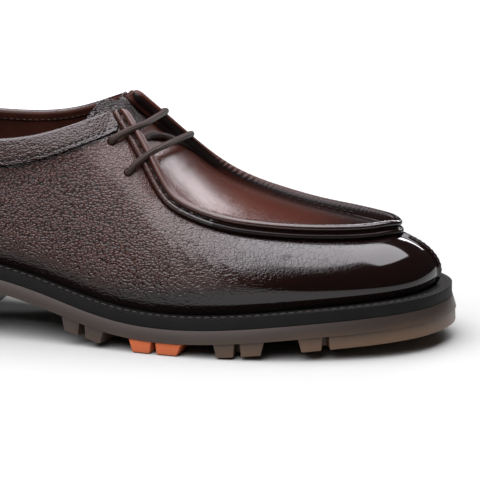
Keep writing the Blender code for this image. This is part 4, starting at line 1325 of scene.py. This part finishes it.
def add_tongue():
    """The tongue: a padded sheet under the facings whose free top end bends into one smooth arch."""
    ceiling = tongue_ceiling()
    across = np.linspace(0, 1, ceiling.shape[1])
    reach = cubic([row.across for row in TONGUE_TOP], [(row.back, row.up) for row in TONGUE_TOP])(across)
    shift = np.c_[-reach[:, 0], np.zeros(len(reach)), reach[:, 1]]
    rows = list(ceiling)
    for share, rounding in TONGUE_FREE_ROWS:
        rows.append(eased(ceiling[-1] + shift * share, rounding))
    coarse = np.array(rows)
    lengths = np.append(0, np.cumsum(np.linalg.norm(np.diff(coarse, axis=0), axis=2).mean(1)))
    along = np.linspace(0, lengths[-1], 70)
    grid = cubic(lengths, coarse)(along)
    place = np.arange(grid.shape[1])
    grid = np.moveaxis(cubic(place, np.moveaxis(grid, 1, 0))(np.linspace(0, place[-1], 84)), 0, 1)
    normal = unit(np.cross(np.gradient(grid, axis=1), np.gradient(grid, axis=0)))
    normal *= np.sign(normal[..., 2:].mean())
    count, columns = grid.shape[:2]
    from_top = (along[-1] - along)[:, None]
    across_fine = np.linspace(0, 1, columns)[None]
    from_side = np.minimum(across_fine, 1 - across_fine) * 90.0
    edge = np.minimum(np.minimum(from_top, from_side), along[:, None])
    pad = 0.7 * smooth(2.0, 7.0, from_top) * (1 - smooth(12.0, 20.0, from_top)) * smooth(3, 12, from_side)
    half = TONGUE_WALL / 2
    body = half * round_over(edge, 1.4)
    middle = grid - normal * (TONGUE_CLEARANCE + half)
    outer = middle + normal * (body + pad * 0.5)[..., None]
    shell, faces = thick_sheet(outer, middle - normal * body[..., None])
    front = np.repeat(along[:-1], columns - 1) < along[-1] * 0.52
    slots = np.full(len(faces), 2)
    slots[: len(front)] = np.where(front, 1, 0)
    flank = 0.2 * smooth(0.3, 0.5, np.abs(across_fine - 0.5))
    burnish = np.clip(0.8 + flank + 0.3 * np.exp(-edge / 1.2), 0, 1)
    burnish = burnish * (0.15 + 0.85 * smooth(0.4, 0.6, along / along[-1]))[:, None]
    values = {"burnish": np.append(burnish, np.zeros(count * columns)), "grain": np.full(len(shell), 0.9)}
    used = [finishes()[kind] for kind in ("wall", "apron", "lining")]
    made = add_mesh("tongue_leather", shell, faces, used, slots, values)
    return finished(made, "grain_leather", "tongue")


def lace_bar(name):
    """One visible bar of the lace: up from a lateral hole, over both crests and down to the medial hole."""
    lift = LACE_RADIUS + 0.6
    route = []
    for side in (1, -1):
        mouth, punched = lace_hole(name, side)
        station = np.array([side * LACE_HOLES[name, side].crossing])
        section = ridge_points(station, RIDGE)[0]
        out, up, _ = ridge_frame(station)
        over = section[5] + up[0] * (lift + 0.7)
        beside = section[2] + out[0] * lift + up[0] * 0.8 * lift
        route.append([mouth + punched * lift, beside, over])
    near, far = route[0][-1], route[1][-1]
    span = [near + (far - near) * share for share in (0.2, 0.5, 0.8)]
    points = np.array(route[0] + span + route[1][::-1])
    lengths = runs(points)
    return eased(cubic(lengths, points)(np.linspace(0, lengths[-1], 26)), 10)


def lace_route():
    """The whole lace: its hidden start, the lower bar, the crossing under it, the upper bar and its end."""

    def inside(name, side):
        mouth, punched = lace_hole(name, side)
        return mouth - punched * (UPPER_WALL + 0.3)

    def mouth(name, side):
        middle, punched = lace_hole(name, side)
        return middle - punched * 0.4

    lift = LACE_RADIUS + 0.9
    under = []
    for station, across in LACE_UNDER:
        place = np.array([station]), np.array([across])
        under.append(apron_inside(*place, UPPER_WALL + 0.5)[0] + np.array([0, 0, lift]))
    start = inside("upper", 1) * 0.75 + inside("lower", 1) * 0.25
    route = [start, inside("lower", 1) * 0.7 + inside("upper", 1) * 0.3, mouth("lower", 1)]
    route += list(lace_bar("lower")[1:-1])
    route += [mouth("lower", -1), inside("lower", -1) * 0.8 + under[-1] * 0.2]
    route += under[::-1]
    route += [inside("upper", 1) * 0.8 + under[0] * 0.2, mouth("upper", 1)]
    route += list(lace_bar("upper")[1:-1])
    route += [mouth("upper", -1), inside("upper", -1), inside("upper", -1) * 0.7 + inside("lower", -1) * 0.3]
    return np.array(route)


def add_lace():
    """One round cord through the four holes, its hidden ends stopping under the facings."""
    route = lace_route()
    path = curve_through(route, int(runs(route)[-1] / LACE_STEP))
    along = unit(np.gradient(path, axis=0))
    side = np.zeros_like(path)
    side[0] = unit(np.cross(along[0], [0.0, 0.0, 1.0]))
    for i in range(1, len(path)):
        turned = side[i - 1] - along[i] * (side[i - 1] @ along[i])
        side[i] = unit(turned)
    other = np.cross(along, side)
    points = path[:, None] + ring_round(side, other, LACE_SIDES) * LACE_RADIUS
    at = np.arange(len(path) * LACE_SIDES).reshape(len(path), LACE_SIDES)
    nxt = np.roll(at, -1, 1)
    faces = np.stack([at[:-1], nxt[:-1], nxt[1:], at[1:]], -1).reshape(-1, 4).tolist()
    faces += [at[0, ::-1].tolist(), at[-1].tolist()]
    made = add_mesh("lace", points.reshape(-1, 3), faces, [finishes()["lace"]], sharp=60)
    length = runs(path)
    layer = made.data.uv_layers.new(name="braid")
    for polygon in made.data.polygons:
        corners = [made.data.loops[i].vertex_index for i in polygon.loop_indices]
        columns = [c % LACE_SIDES for c in corners]
        wraps = len(corners) == 4 and max(columns) - min(columns) > 1
        for loop, corner, column in zip(polygon.loop_indices, corners, columns):
            turn = column + (LACE_SIDES if wraps and column == 0 else 0)
            layer.data[loop].uv = (turn / LACE_SIDES, length[corner // LACE_SIDES])
    finished(made, "waxed_cord", "lace_bar_lower", "lace_bar_upper", "lace_under_bar")
    return length[-1]


def plan_sheet(stations, across, offset, height):
    """A sheet that fills the outline with rows from edge to edge, at a height that follows x."""
    edge_lateral = outline(stations, offset)[0]
    edge_medial = outline(-stations, offset)[0]
    share = np.linspace(0, 1, across + 1)[None, :, None]
    plan = edge_lateral[:, None] * (1 - share) + edge_medial[:, None] * share
    return np.concatenate([plan, height(plan[..., 0])[..., None]], -1)


def plate(stations, across, low, high):
    """The closed solid between two plan sheets, each given as (offset, height function)."""
    top = plan_sheet(stations, across, *high)
    bottom = plan_sheet(stations, across, *low)
    index = np.arange(top.shape[0] * top.shape[1]).reshape(top.shape[:2])
    for i, station in enumerate(stations):
        if station in (0, HEEL_STATION):
            index[i] = index[i, 0]
    faces = without_doubles(quads_of(index))
    used = np.unique(np.concatenate([np.asarray(f) for f in faces]))
    renumber = {int(old): new for new, old in enumerate(used)}
    faces = [tuple(renumber[i] for i in f) for f in faces]
    return thick(top.reshape(-1, 3)[used], bottom.reshape(-1, 3)[used], faces)


SOLE_STATIONS = spaced((0, 2, 40), (2, 11, 120), (11, HEEL_STATION, 48))
OUTSOLE_DROP = WELT_THICKNESS + GAP
TREAD_DROP = OUTSOLE_DROP + OUTSOLE_THICKNESS


def add_welt():
    """The dressed edge between rubber and upper, with its edges rounded."""
    edges = (0.0, lambda x: sole_height(x) - WELT_THICKNESS - GAP), (0.0, sole_height)
    made = add_mesh("welt_leather", *plate(SOLE_STATIONS, 6, *edges), [finishes()["welt"]])
    soften(made, 0.7, 3)
    return finished(made, "edge_leather", "welt")


def tread_height(x):
    """Height of the tread's lowest faces: flat on the floor under the ball, rising to waist and toe."""
    return np.maximum(sole_height(x) - TREAD_DROP - LUG_HEIGHT, 0.0)


def lug_shape(edges, insides):
    """A tread block between matched rows of plan points, each given as its foot and its larger root."""
    layers = []
    for plan in (edges[1], insides[1]):
        layers.append(np.c_[plan, sole_height(plan[:, 0]) - TREAD_DROP + LUG_BURIED])
    for plan in (insides[0], edges[0]):
        layers.append(np.c_[plan, tread_height(plan[:, 0])])
    count = len(edges[0])
    around = np.arange(4 * count).reshape(4, count)
    faces = [tuple(around[:, 0]), tuple(around[::-1, -1])]
    for a, b in zip(around, np.roll(around, -1, axis=0)):
        faces += [(a[i], a[i + 1], b[i + 1], b[i]) for i in range(count - 1)]
    return np.concatenate(layers), faces


def notched_rows(stations, notches, depth, flare):
    """Plan points along the outline, stepping in at each notch, and the points inside them."""
    edge, inside = [], []
    for station in stations:
        inset = any(min(n) < station < max(n) for n in notches)
        edge.append(outline(station, flare - (NOTCH_DEPTH if inset else 0.0))[0])
        inside.append(outline(station, -depth)[0])
    return np.array(edge), np.array(inside)


def notch_run(lug, side, draft):
    """A block's stations along one side, from its back to just past its notch, and the notch's two ends."""
    back = station_at(lug.back - draft, side)
    slack = 0.4 * draft
    notch = [station_at(lug.notch_back + slack, side), station_at(lug.notch_front - slack, side)]
    lean = 0.004 * side
    return [back, notch[0] + lean, notch[0] - lean, notch[1] + lean, notch[1] - lean], notch


LUG_LEVELS = ((0.0, OUTSOLE_TREAD_FLARE - 0.2), (LUG_DRAFT, OUTSOLE_TREAD_FLARE - 0.5))


def drafted_lug(run, depth):
    """A block whose stations and notches change with its draft from foot to root."""
    rows = [notched_rows(*run(draft), depth + draft, flare) for draft, flare in LUG_LEVELS]
    return lug_shape(*zip(*rows))


def edge_lug(lug, side):
    """A block along one edge of the sole."""

    def run(draft):
        stations, notch = notch_run(lug, side, draft)
        return stations + [station_at(lug.front + draft, side)], [notch]

    return drafted_lug(run, lug.depth)


def toe_lug():
    """The block that runs round the toe from one side to the other, notched once on each side."""

    def run(draft):
        lateral, lateral_notch = notch_run(TOE_LUG, 1, draft)
        medial, medial_notch = notch_run(TOE_LUG, -1, draft)
        stations = np.concatenate([lateral, np.linspace(3.2, -3.2, 33), medial[::-1]])
        return stations, [lateral_notch, medial_notch]

    return drafted_lug(run, TOE_LUG.depth)


def middle_lug(x):
    """A block on the sole's middle line, between the blocks of its edges."""
    lateral = outline(station_at(x, 1))[0]
    medial = outline(station_at(x, -1))[0]
    centre = np.array([x, (lateral[1] + medial[1]) / 2])
    polygons = []
    for draft in (0.0, LUG_DRAFT):
        half_length = MIDDLE_LUG_LENGTH / 2 + draft
        half_width = MIDDLE_LUG_WIDTH / 2 + draft
        side = half_width * 0.55
        lengths = [-half_length, 0, half_length, half_length, 0, -half_length]
        widths = [-side, -half_width, -side, side, half_width, side]
        polygons.append(centre + np.c_[lengths, widths])
    halves = [polygon[:3] for polygon in polygons]
    others = [polygon[:2:-1] for polygon in polygons]
    return lug_shape(halves, others)


def paint_glow_mask(made, low, high):
    """Mark how near each point of a rubber piece is to the tread, and to the toe: the mark sets where the
    rubber's painted glow shows.
    """
    places = np.empty(3 * len(made.data.vertices))
    made.data.vertices.foreach_get("co", places)
    places = places.reshape(-1, 3) / MM + ORIGIN
    below = sole_height(places[:, 0]) - OUTSOLE_DROP - places[:, 2]
    value = smooth(low, high, below) * along_shoe(places[:, 0], RUBBER_GLOW)
    layer = made.data.attributes.new("depth", "FLOAT", "POINT")
    layer.data.foreach_set("value", value.astype(np.float32))


def add_outsole():
    """The rubber base with its tread blocks."""
    low = OUTSOLE_TREAD_FLARE, lambda x: sole_height(x) - TREAD_DROP
    high = OUTSOLE_TOP_FLARE, lambda x: sole_height(x) - OUTSOLE_DROP
    rubber_finish = [finishes()["rubber"]]
    made = add_mesh("outsole_rubber", *plate(SOLE_STATIONS, 6, low, high), rubber_finish)
    soften(made, 0.6, 3)
    blocks = [edge_lug(lug, side) for lug in (WAIST_LUG, BALL_LUG) for side in (1, -1)]
    blocks += [middle_lug(x) for x in MIDDLE_LUGS_X]
    blocks.append(toe_lug())
    helper = add_mesh("tread_blocks", *merged(blocks), rubber_finish)
    soften(helper, 0.5, 2, 35)
    combine(made, helper, "UNION")
    paint_glow_mask(made, 0.5, 12.0)
    return finished(made, "amber_rubber", "outsole")


def add_accent_lugs():
    """The two blocks of orange rubber under the ball, reaching up into the base."""
    made = []
    for name, side in (("accent_lug_lateral", 1), ("accent_lug_medial", -1)):
        points, faces = edge_lug(ACCENT_LUG, side)
        half = len(points) // 2
        points[:half, 2] -= LUG_BURIED - 0.05
        block = add_mesh(name + "_rubber", points, faces, [finishes()["accent"]])
        soften(block, 0.5, 2, 35)
        paint_glow_mask(block, 5.0, 13.0)
        made.append(finished(block, "accent_rubber", name))
    return made


def box(low, high):
    """Points and faces of a box between two corners."""
    corners = [[(low, high)[i >> k & 1][k] for k in range(3)] for i in range(8)]
    faces = [(0, 2, 3, 1), (4, 5, 7, 6), (0, 1, 5, 4), (2, 6, 7, 3), (0, 4, 6, 2), (1, 3, 7, 5)]
    return np.array(corners, float), faces


def heel_recess():
    """The hollow in the middle of the heel's foot, with its corners cut off."""
    back, front, half = HEEL_RECESS
    cut = HEEL_RECESS_CORNER
    xs = [back + cut, front - cut, front, front, front - cut, back + cut, back, back]
    ys = [-half, -half, cut - half, half - cut, half, half, half - cut, cut - half]
    levels = [np.c_[xs, ys, np.full(len(xs), level)] for level in (-1.0, LUG_HEIGHT)]
    return np.concatenate(levels), prism_faces(len(xs))


def add_heel():
    """The block heel with its recess and edge grooves."""
    stations = spaced((station_at(HEEL_BREAST_X, 1), 11, 24), (11, HEEL_STATION, 48))
    low = HEEL_FOOT_FLARE, lambda x: np.zeros_like(x)
    high = HEEL_TOP_FLARE, lambda x: sole_height(x) - TREAD_DROP
    made = add_mesh("heel_rubber", *plate(stations, 6, low, high), [finishes()["rubber"]])
    soften(made, 0.7, 3, 35)
    cutters = [heel_recess()]
    for x in HEEL_GROOVE_X:
        for side in (1, -1):
            edge = outline(station_at(x, side))[0][1]
            ends = sorted([edge - side * 6.0, edge + side * HEEL_GROOVE_REACH])
            half = HEEL_GROOVE_WIDTH / 2
            cutters.append(box((x - half, ends[0], -1.0), (x + half, ends[1], LUG_HEIGHT)))
    combine(made, add_mesh("heel_cutters", *merged(cutters), [finishes()["rubber"]]), "DIFFERENCE")
    paint_glow_mask(made, 8.0, 30.0)
    return finished(made, "amber_rubber", "heel")


def dress_insole():
    """Give the footbed its leather."""
    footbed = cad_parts["insole"]
    footbed.data.materials.clear()
    footbed.data.materials.append(finishes()["lining"])


def stitch_tree():
    """Nodes that lay one row of stitches along a path."""
    tree = bpy.data.node_groups.new("stitch_row", "GeometryNodeTree")
    face = tree.interface
    face.new_socket("Path", in_out="INPUT", socket_type="NodeSocketGeometry")
    for name, default in (("Pitch", 0.004), ("Length", 0.003), ("Radius", 0.0004)):
        socket = face.new_socket(name, in_out="INPUT", socket_type="NodeSocketFloat")
        socket.subtype = "DISTANCE"
        socket.default_value = default
    face.new_socket("Thread", in_out="INPUT", socket_type="NodeSocketMaterial")
    face.new_socket("Stitches", in_out="OUTPUT", socket_type="NodeSocketGeometry")

    def add(kind, **settings):
        node = tree.nodes.new(kind)
        for key, value in settings.items():
            setattr(node, key, value)
        return node

    given = add("NodeGroupInput")
    curve = add("GeometryNodeMeshToCurve")
    even = add("GeometryNodeResampleCurve", mode="LENGTH")
    tangent = add("GeometryNodeInputTangent")
    turned = add("FunctionNodeAlignRotationToVector", axis="X")
    bead = add("GeometryNodeMeshUVSphere")
    bead.inputs["Segments"].default_value = 8
    bead.inputs["Rings"].default_value = 6
    bead.inputs["Radius"].default_value = 1.0
    halved = add("ShaderNodeMath", operation="MULTIPLY")
    halved.inputs[1].default_value = 0.5
    size = add("ShaderNodeCombineXYZ")
    shaped = add("GeometryNodeTransform")
    rounded = add("GeometryNodeSetShadeSmooth")
    row = add("GeometryNodeInstanceOnPoints")
    real = add("GeometryNodeRealizeInstances")
    coloured = add("GeometryNodeSetMaterial")
    result = add("NodeGroupOutput")
    links = [
        (given, "Path", curve, "Mesh"),
        (curve, "Curve", even, "Curve"),
        (given, "Pitch", even, "Length"),
        (given, "Length", halved, 0),
        (halved, 0, size, "X"),
        (given, "Radius", size, "Y"),
        (given, "Radius", size, "Z"),
        (bead, "Mesh", shaped, "Geometry"),
        (size, 0, shaped, "Scale"),
        (shaped, "Geometry", rounded, "Geometry"),
        (tangent, 0, turned, "Vector"),
        (even, "Curve", row, "Points"),
        (rounded, "Geometry", row, "Instance"),
        (turned, 0, row, "Rotation"),
        (row, "Instances", real, "Geometry"),
        (real, "Geometry", coloured, "Geometry"),
        (given, "Thread", coloured, "Material"),
        (coloured, "Geometry", result, "Stitches"),
    ]
    for source, output, target, socket in links:
        tree.links.new(source.outputs[output], target.inputs[socket])
    return tree


def add_stitches(name, paths, pitch, length, radius, finish, slot, closed=False):
    """Rows of stitches along paths of points in shoe millimetres."""
    tree = bpy.data.node_groups.get("stitch_row") or stitch_tree()
    mesh = bpy.data.meshes.new(name)
    points, edges = [], []
    for path in paths:
        start = len(points)
        points += ((np.asarray(path) - ORIGIN) * MM).tolist()
        edges += [(i, i + 1) for i in range(start, len(points) - 1)]
        if closed:
            edges.append((len(points) - 1, start))
    mesh.from_pydata(points, edges, [])
    made = bpy.data.objects.new(name, mesh)
    bpy.context.scene.collection.objects.link(made)
    rows = made.modifiers.new("stitches", "NODES")
    rows.node_group = tree
    values = {"Pitch": pitch, "Length": length, "Radius": radius, "Thread": finish}
    for item in tree.interface.items_tree:
        if item.in_out == "INPUT" and item.name in values:
            rows[item.identifier] = values[item.name]
    settle(made, 180)
    return finished(made, slot)


def on_wall(station, distance, lift):
    """Points on the wall this far below its top edge, lifted off it."""
    height = height_below(station, distance)
    return wall(station, height) + wall_normal(station, height) * lift


def welt_path():
    stations = np.linspace(0, STATIONS_ROUND, 1200, endpoint=False)
    plan = outline(stations, -WELT_STITCH_INSET)[0]
    return np.c_[plan, sole_height(plan[:, 0]) + 0.12]


def band_path():
    front = BAND[0].station + 0.05
    turn = np.linspace(front, STATIONS_ROUND - front, 460)
    return on_wall(turn, band_edges(turn)[1] - BAND_STITCH, GAP + BAND_WALL - 0.25)


def lining_paths():
    """The binding's stitches inside the collar, and a lining seam lower down round the heel."""
    turn = np.linspace(8.6, STATIONS_ROUND - 8.6, 420)
    upper = on_wall(turn, TOP_ROLL + INSIDE_BINDING - 1.1, -UPPER_WALL - 0.5)
    turn = np.linspace(9.7, STATIONS_ROUND - 9.7, 320)
    lower = on_wall(turn, LINING_STITCH, -UPPER_WALL - 0.05)
    return upper, lower


def groove_paths():
    """The sewing in the groove between lip and roll, on each side of the toe."""
    paths = []
    for side in (1, -1):
        stations = side * np.linspace(5.7, FACING_TOP - 0.05, 200)
        out, up, past = ridge_frame(stations)
        aside, above = GROOVE_STITCH
        paths.append(CREST_AT(stations + past * 0.6) + out * aside + up * above)
    return paths


def crease_path():
    """The sewing along the foot of the roll on the medial side of the apron."""
    stations = -np.linspace(3.0, 5.0, 160)
    out, up, _ = ridge_frame(stations)
    aside, above = CREASE_STITCH
    return CREST_AT(stations) + out * aside + up * above


def toe_paths():
    """The two rows of stitches beside the groove of the split toe."""
    paths = []
    heights = np.linspace(0.1, 0.9, 120)
    seam = wall(np.zeros_like(heights), heights)
    normal = wall_normal(np.zeros_like(heights), heights)
    for side in (-1, 1):
        paths.append(seam + np.array([0.0, side * TOE_STITCH, 0.0]) + normal * 0.8)
    return paths


def length_property(name, description, default):
    return bpy.props.FloatProperty(
        name=name, description=description, default=default, subtype="DISTANCE", unit="LENGTH"
    )


class ShoeSizes(bpy.types.PropertyGroup):
    """Sizes of the shoe's finishing that may be changed."""

    grain: length_property("Grain", "Width of one pebble of the leather", 0.00094)
    welt_pitch: length_property("Welt pitch", "Distance between welt stitches", 0.0039)
    seam_pitch: length_property("Seam pitch", "Distance between stitches of band and lining", 0.0031)
    thread_radius: length_property("Thread radius", "Half the thickness of the sewing thread", 0.00032)
    lace_length: length_property("Lace length", "Length of the lace that was laid", 0.0)


def colour_property(name, description, default):
    return bpy.props.FloatVectorProperty(
        name=name, description=description, default=default, subtype="COLOR", size=3, min=0.0, max=1.0
    )


class ShoeColours(bpy.types.PropertyGroup):
    """Colours of the shoe's finishes."""

    leather: colour_property("Leather", "Grained leather of vamp and quarters", (0.047, 0.0135, 0.0080))
    leather_light: colour_property("Leather, lighter", "Lighter clouds in the grain", (0.063, 0.0200, 0.0120))
    # The dark colour of burnished toe and seams, which also paints shade near the welt, under the band and in
    # the seam's groove
    burnish: colour_property("Burnish", "Leather darkened at toe and seams", (0.0050, 0.0017, 0.0014))
    apron: colour_property("Apron", "Smooth calf of the apron", (0.041, 0.0076, 0.0029))
    apron_light: colour_property("Apron, lighter", "Lighter clouds in the apron", (0.055, 0.0113, 0.0048))
    # The dark apron colour of its burnished toe end, which also paints shade in the creases at the foot of
    # the rolled seam
    apron_dark: colour_property("Apron, burnished", "Apron darkened at its seams", (0.006, 0.0025, 0.0020))
    lining: colour_property("Lining", "Calf inside the shoe", (0.045, 0.0130, 0.0075))
    welt: colour_property("Welt", "Dressed edge of the welt", (0.0030, 0.0028, 0.0028))
    rubber: colour_property("Rubber", "Rubber near the welt", (0.034, 0.0255, 0.0212))
    # Painted glow: the colour the rubber is painted near the tread and the toe, standing for light let
    # through it
    rubber_glow: colour_property("Rubber, lit through", "Rubber near the tread", (0.150, 0.0860, 0.0480))
    accent: colour_property("Accent rubber", "Orange tread blocks", (0.430, 0.1000, 0.0330))
    lace: colour_property("Lace", "Waxed cord", (0.0180, 0.0102, 0.0076))
    thread: colour_property("Thread", "Light sewing thread", (0.3, 0.26, 0.22))
    dark_thread: colour_property("Dark thread", "Dark sewing thread", (0.012, 0.009, 0.008))


class ShoePiece:
    """What the operators share."""

    bl_options = {"REGISTER", "UNDO"}


class SHOE_OT_upper(ShoePiece, bpy.types.Operator):
    """Add the grained wall of the upper and its apron"""

    bl_idname = "shoe.add_upper"
    bl_label = "Upper"

    def execute(self, context):
        add_upper_wall()
        add_apron()
        return {"FINISHED"}


class SHOE_OT_collar(ShoePiece, bpy.types.Operator):
    """Add the collar band and the tongue"""

    bl_idname = "shoe.add_collar"
    bl_label = "Collar band and tongue"

    def execute(self, context):
        add_collar_band()
        add_tongue()
        return {"FINISHED"}


class SHOE_OT_lace(ShoePiece, bpy.types.Operator):
    """Run the lace through its holes"""

    bl_idname = "shoe.add_lace"
    bl_label = "Lace"

    def execute(self, context):
        context.scene.shoe_sizes.lace_length = add_lace() * MM
        return {"FINISHED"}


class SHOE_OT_sole(ShoePiece, bpy.types.Operator):
    """Add welt, outsole, tread blocks and heel, and dress the footbed"""

    bl_idname = "shoe.add_sole"
    bl_label = "Welt, sole and heel"

    def execute(self, context):
        add_welt()
        add_outsole()
        add_accent_lugs()
        add_heel()
        dress_insole()
        return {"FINISHED"}


class SHOE_OT_stitches(ShoePiece, bpy.types.Operator):
    """Sew the rows of stitches on welt, band, lining, seam and toe"""

    bl_idname = "shoe.add_stitches"
    bl_label = "Stitches"

    def execute(self, context):
        sizes = context.scene.shoe_sizes
        light, dark = (finishes()[kind] for kind in ("welt_thread", "dark_thread"))
        rows = [
            ("welt", [welt_path()], 1.0, 0.78, 1.0, light, "edge_leather"),
            ("band", [band_path()], 0.9, 0.62, 1.3, dark, "grain_leather"),
            ("lining", lining_paths(), 1.0, 0.7, 0.7, light, "lining_leather"),
            ("seam", groove_paths(), 1.5, 1.1, 1.3, dark, "grain_leather"),
            ("crease", [crease_path()], 1.3, 0.9, 1.2, dark, "grain_leather"),
            ("toe", toe_paths(), 0.75, 0.55, 0.8, light, "grain_leather"),
        ]
        for name, paths, apart, long, thick_by, thread_finish, slot in rows:
            pitch = sizes.welt_pitch if name == "welt" else sizes.seam_pitch
            measures = pitch * apart, pitch * long, sizes.thread_radius * thick_by
            add_stitches(name + "_stitches", paths, *measures, thread_finish, slot, name == "welt")
        return {"FINISHED"}


# Where the camera stands, in metres: the photo's angle with a long lens
CAMERA_PLACE = (0.348844, -1.341981, 0.360004)
CAMERA_AZIMUTH = 12.5
CAMERA_ELEVATION = 13.0
CAMERA_LENS = 225.75
CAMERA_SENSOR = 36.0

# Soft boxes: place, the point that they face, width, height, turn about their own axis and watts
SoftBox = namedtuple("SoftBox", "name place aim width height turn power")
SOFT_BOXES = [
    SoftBox("overhead_box", (-0.445, -0.6, 1.25), (-0.445, -0.6, 0.0), 1.88, 3.1, -10.8, 104.0),
    SoftBox("toe_box", (0.82, 0.347, 1.25), (0.82, 0.347, 0.0), 0.25, 0.764, -10.8, 3.4),
    SoftBox("back_box", (0.1416, 0.6, 0.4414), (0.03, 0.0, 0.07), 0.216, 0.085, 33, 0.72),
    SoftBox("throat_box", (0.2993, 0.6, 0.339), (0.03, 0.0, 0.07), 0.16, 0.085, 33, 0.46),
]


class SHOE_OT_stage(ShoePiece, bpy.types.Operator):
    """Add a pale floor, soft light and the camera"""

    bl_idname = "shoe.add_stage"
    bl_label = "Floor, light and camera"

    def execute(self, context):
        scene = context.scene
        mesh = bpy.data.meshes.new("floor")
        signs = (-1, -1), (1, -1), (1, 1), (-1, 1)
        corners = [(FLOOR_REACH * x, FLOOR_REACH * y, -FLOOR_DROP) for x, y in signs]
        mesh.from_pydata(corners, [], [(0, 1, 2, 3)])
        mesh.materials.append(pale_floor())
        floor = bpy.data.objects.new("floor", mesh)
        scene.collection.objects.link(floor)

        for soft in SOFT_BOXES:
            data = bpy.data.lights.new(soft.name, "AREA")
            data.shape = "RECTANGLE"
            data.size = soft.width
            data.size_y = soft.height
            data.energy = soft.power
            data.color = LAMP_COLOUR
            lamp = bpy.data.objects.new(soft.name, data)
            lamp.location = soft.place
            back = Vector(soft.place) - Vector(soft.aim)
            lamp.rotation_euler = back.to_track_quat("Z", "Y").to_euler()
            lamp.rotation_euler.rotate_axis("Z", np.radians(soft.turn))
            scene.collection.objects.link(lamp)

        world = bpy.data.worlds.new("studio")
        world.use_nodes = True
        air = world.node_tree.nodes["Background"].inputs
        air["Color"].default_value = rgba(AIR_COLOUR)
        air["Strength"].default_value = AIR_STRENGTH
        scene.world = world
        scene.view_settings.view_transform = "Standard"

        data = bpy.data.cameras.new("camera")
        data.lens = CAMERA_LENS
        data.sensor_width = CAMERA_SENSOR
        data.clip_end = 20.0
        camera = bpy.data.objects.new("camera", data)
        azimuth, elevation = np.radians(CAMERA_AZIMUTH), np.radians(CAMERA_ELEVATION)
        level = np.cos(elevation)
        back = Vector((np.sin(azimuth) * level, -np.cos(azimuth) * level, np.sin(elevation)))
        camera.rotation_euler = back.to_track_quat("Z", "Y").to_euler()
        camera.location = CAMERA_PLACE
        scene.collection.objects.link(camera)
        scene.camera = camera
        return {"FINISHED"}


class SHOE_PT_panel(bpy.types.Panel):
    """The shoe's pieces, sizes and colours"""

    bl_idname = "SHOE_PT_panel"
    bl_label = "Lace-up shoe"
    bl_space_type = "VIEW_3D"
    bl_region_type = "UI"
    bl_category = "Shoe"

    def draw(self, context):
        for operator in OPERATORS:
            self.layout.operator(operator.bl_idname)
        for group in (context.scene.shoe_sizes, context.scene.shoe_colours):
            column = self.layout.column()
            for key in group.__annotations__:
                column.prop(group, key)


OPERATORS = [SHOE_OT_upper, SHOE_OT_collar, SHOE_OT_lace, SHOE_OT_sole, SHOE_OT_stitches, SHOE_OT_stage]
CLASSES = [ShoeSizes, ShoeColours, *OPERATORS, SHOE_PT_panel]


def register():
    for kind in CLASSES:
        bpy.utils.register_class(kind)
    bpy.types.Scene.shoe_sizes = bpy.props.PointerProperty(type=ShoeSizes)
    bpy.types.Scene.shoe_colours = bpy.props.PointerProperty(type=ShoeColours)


def unregister():
    del bpy.types.Scene.shoe_colours
    del bpy.types.Scene.shoe_sizes
    for kind in reversed(CLASSES):
        bpy.utils.unregister_class(kind)


def main():
    register()
    bpy.ops.shoe.add_upper()
    bpy.ops.shoe.add_collar()
    bpy.ops.shoe.add_lace()
    bpy.ops.shoe.add_sole()
    bpy.ops.shoe.add_stitches()
    bpy.ops.shoe.add_stage()


if __name__ == "__main__":
    main()
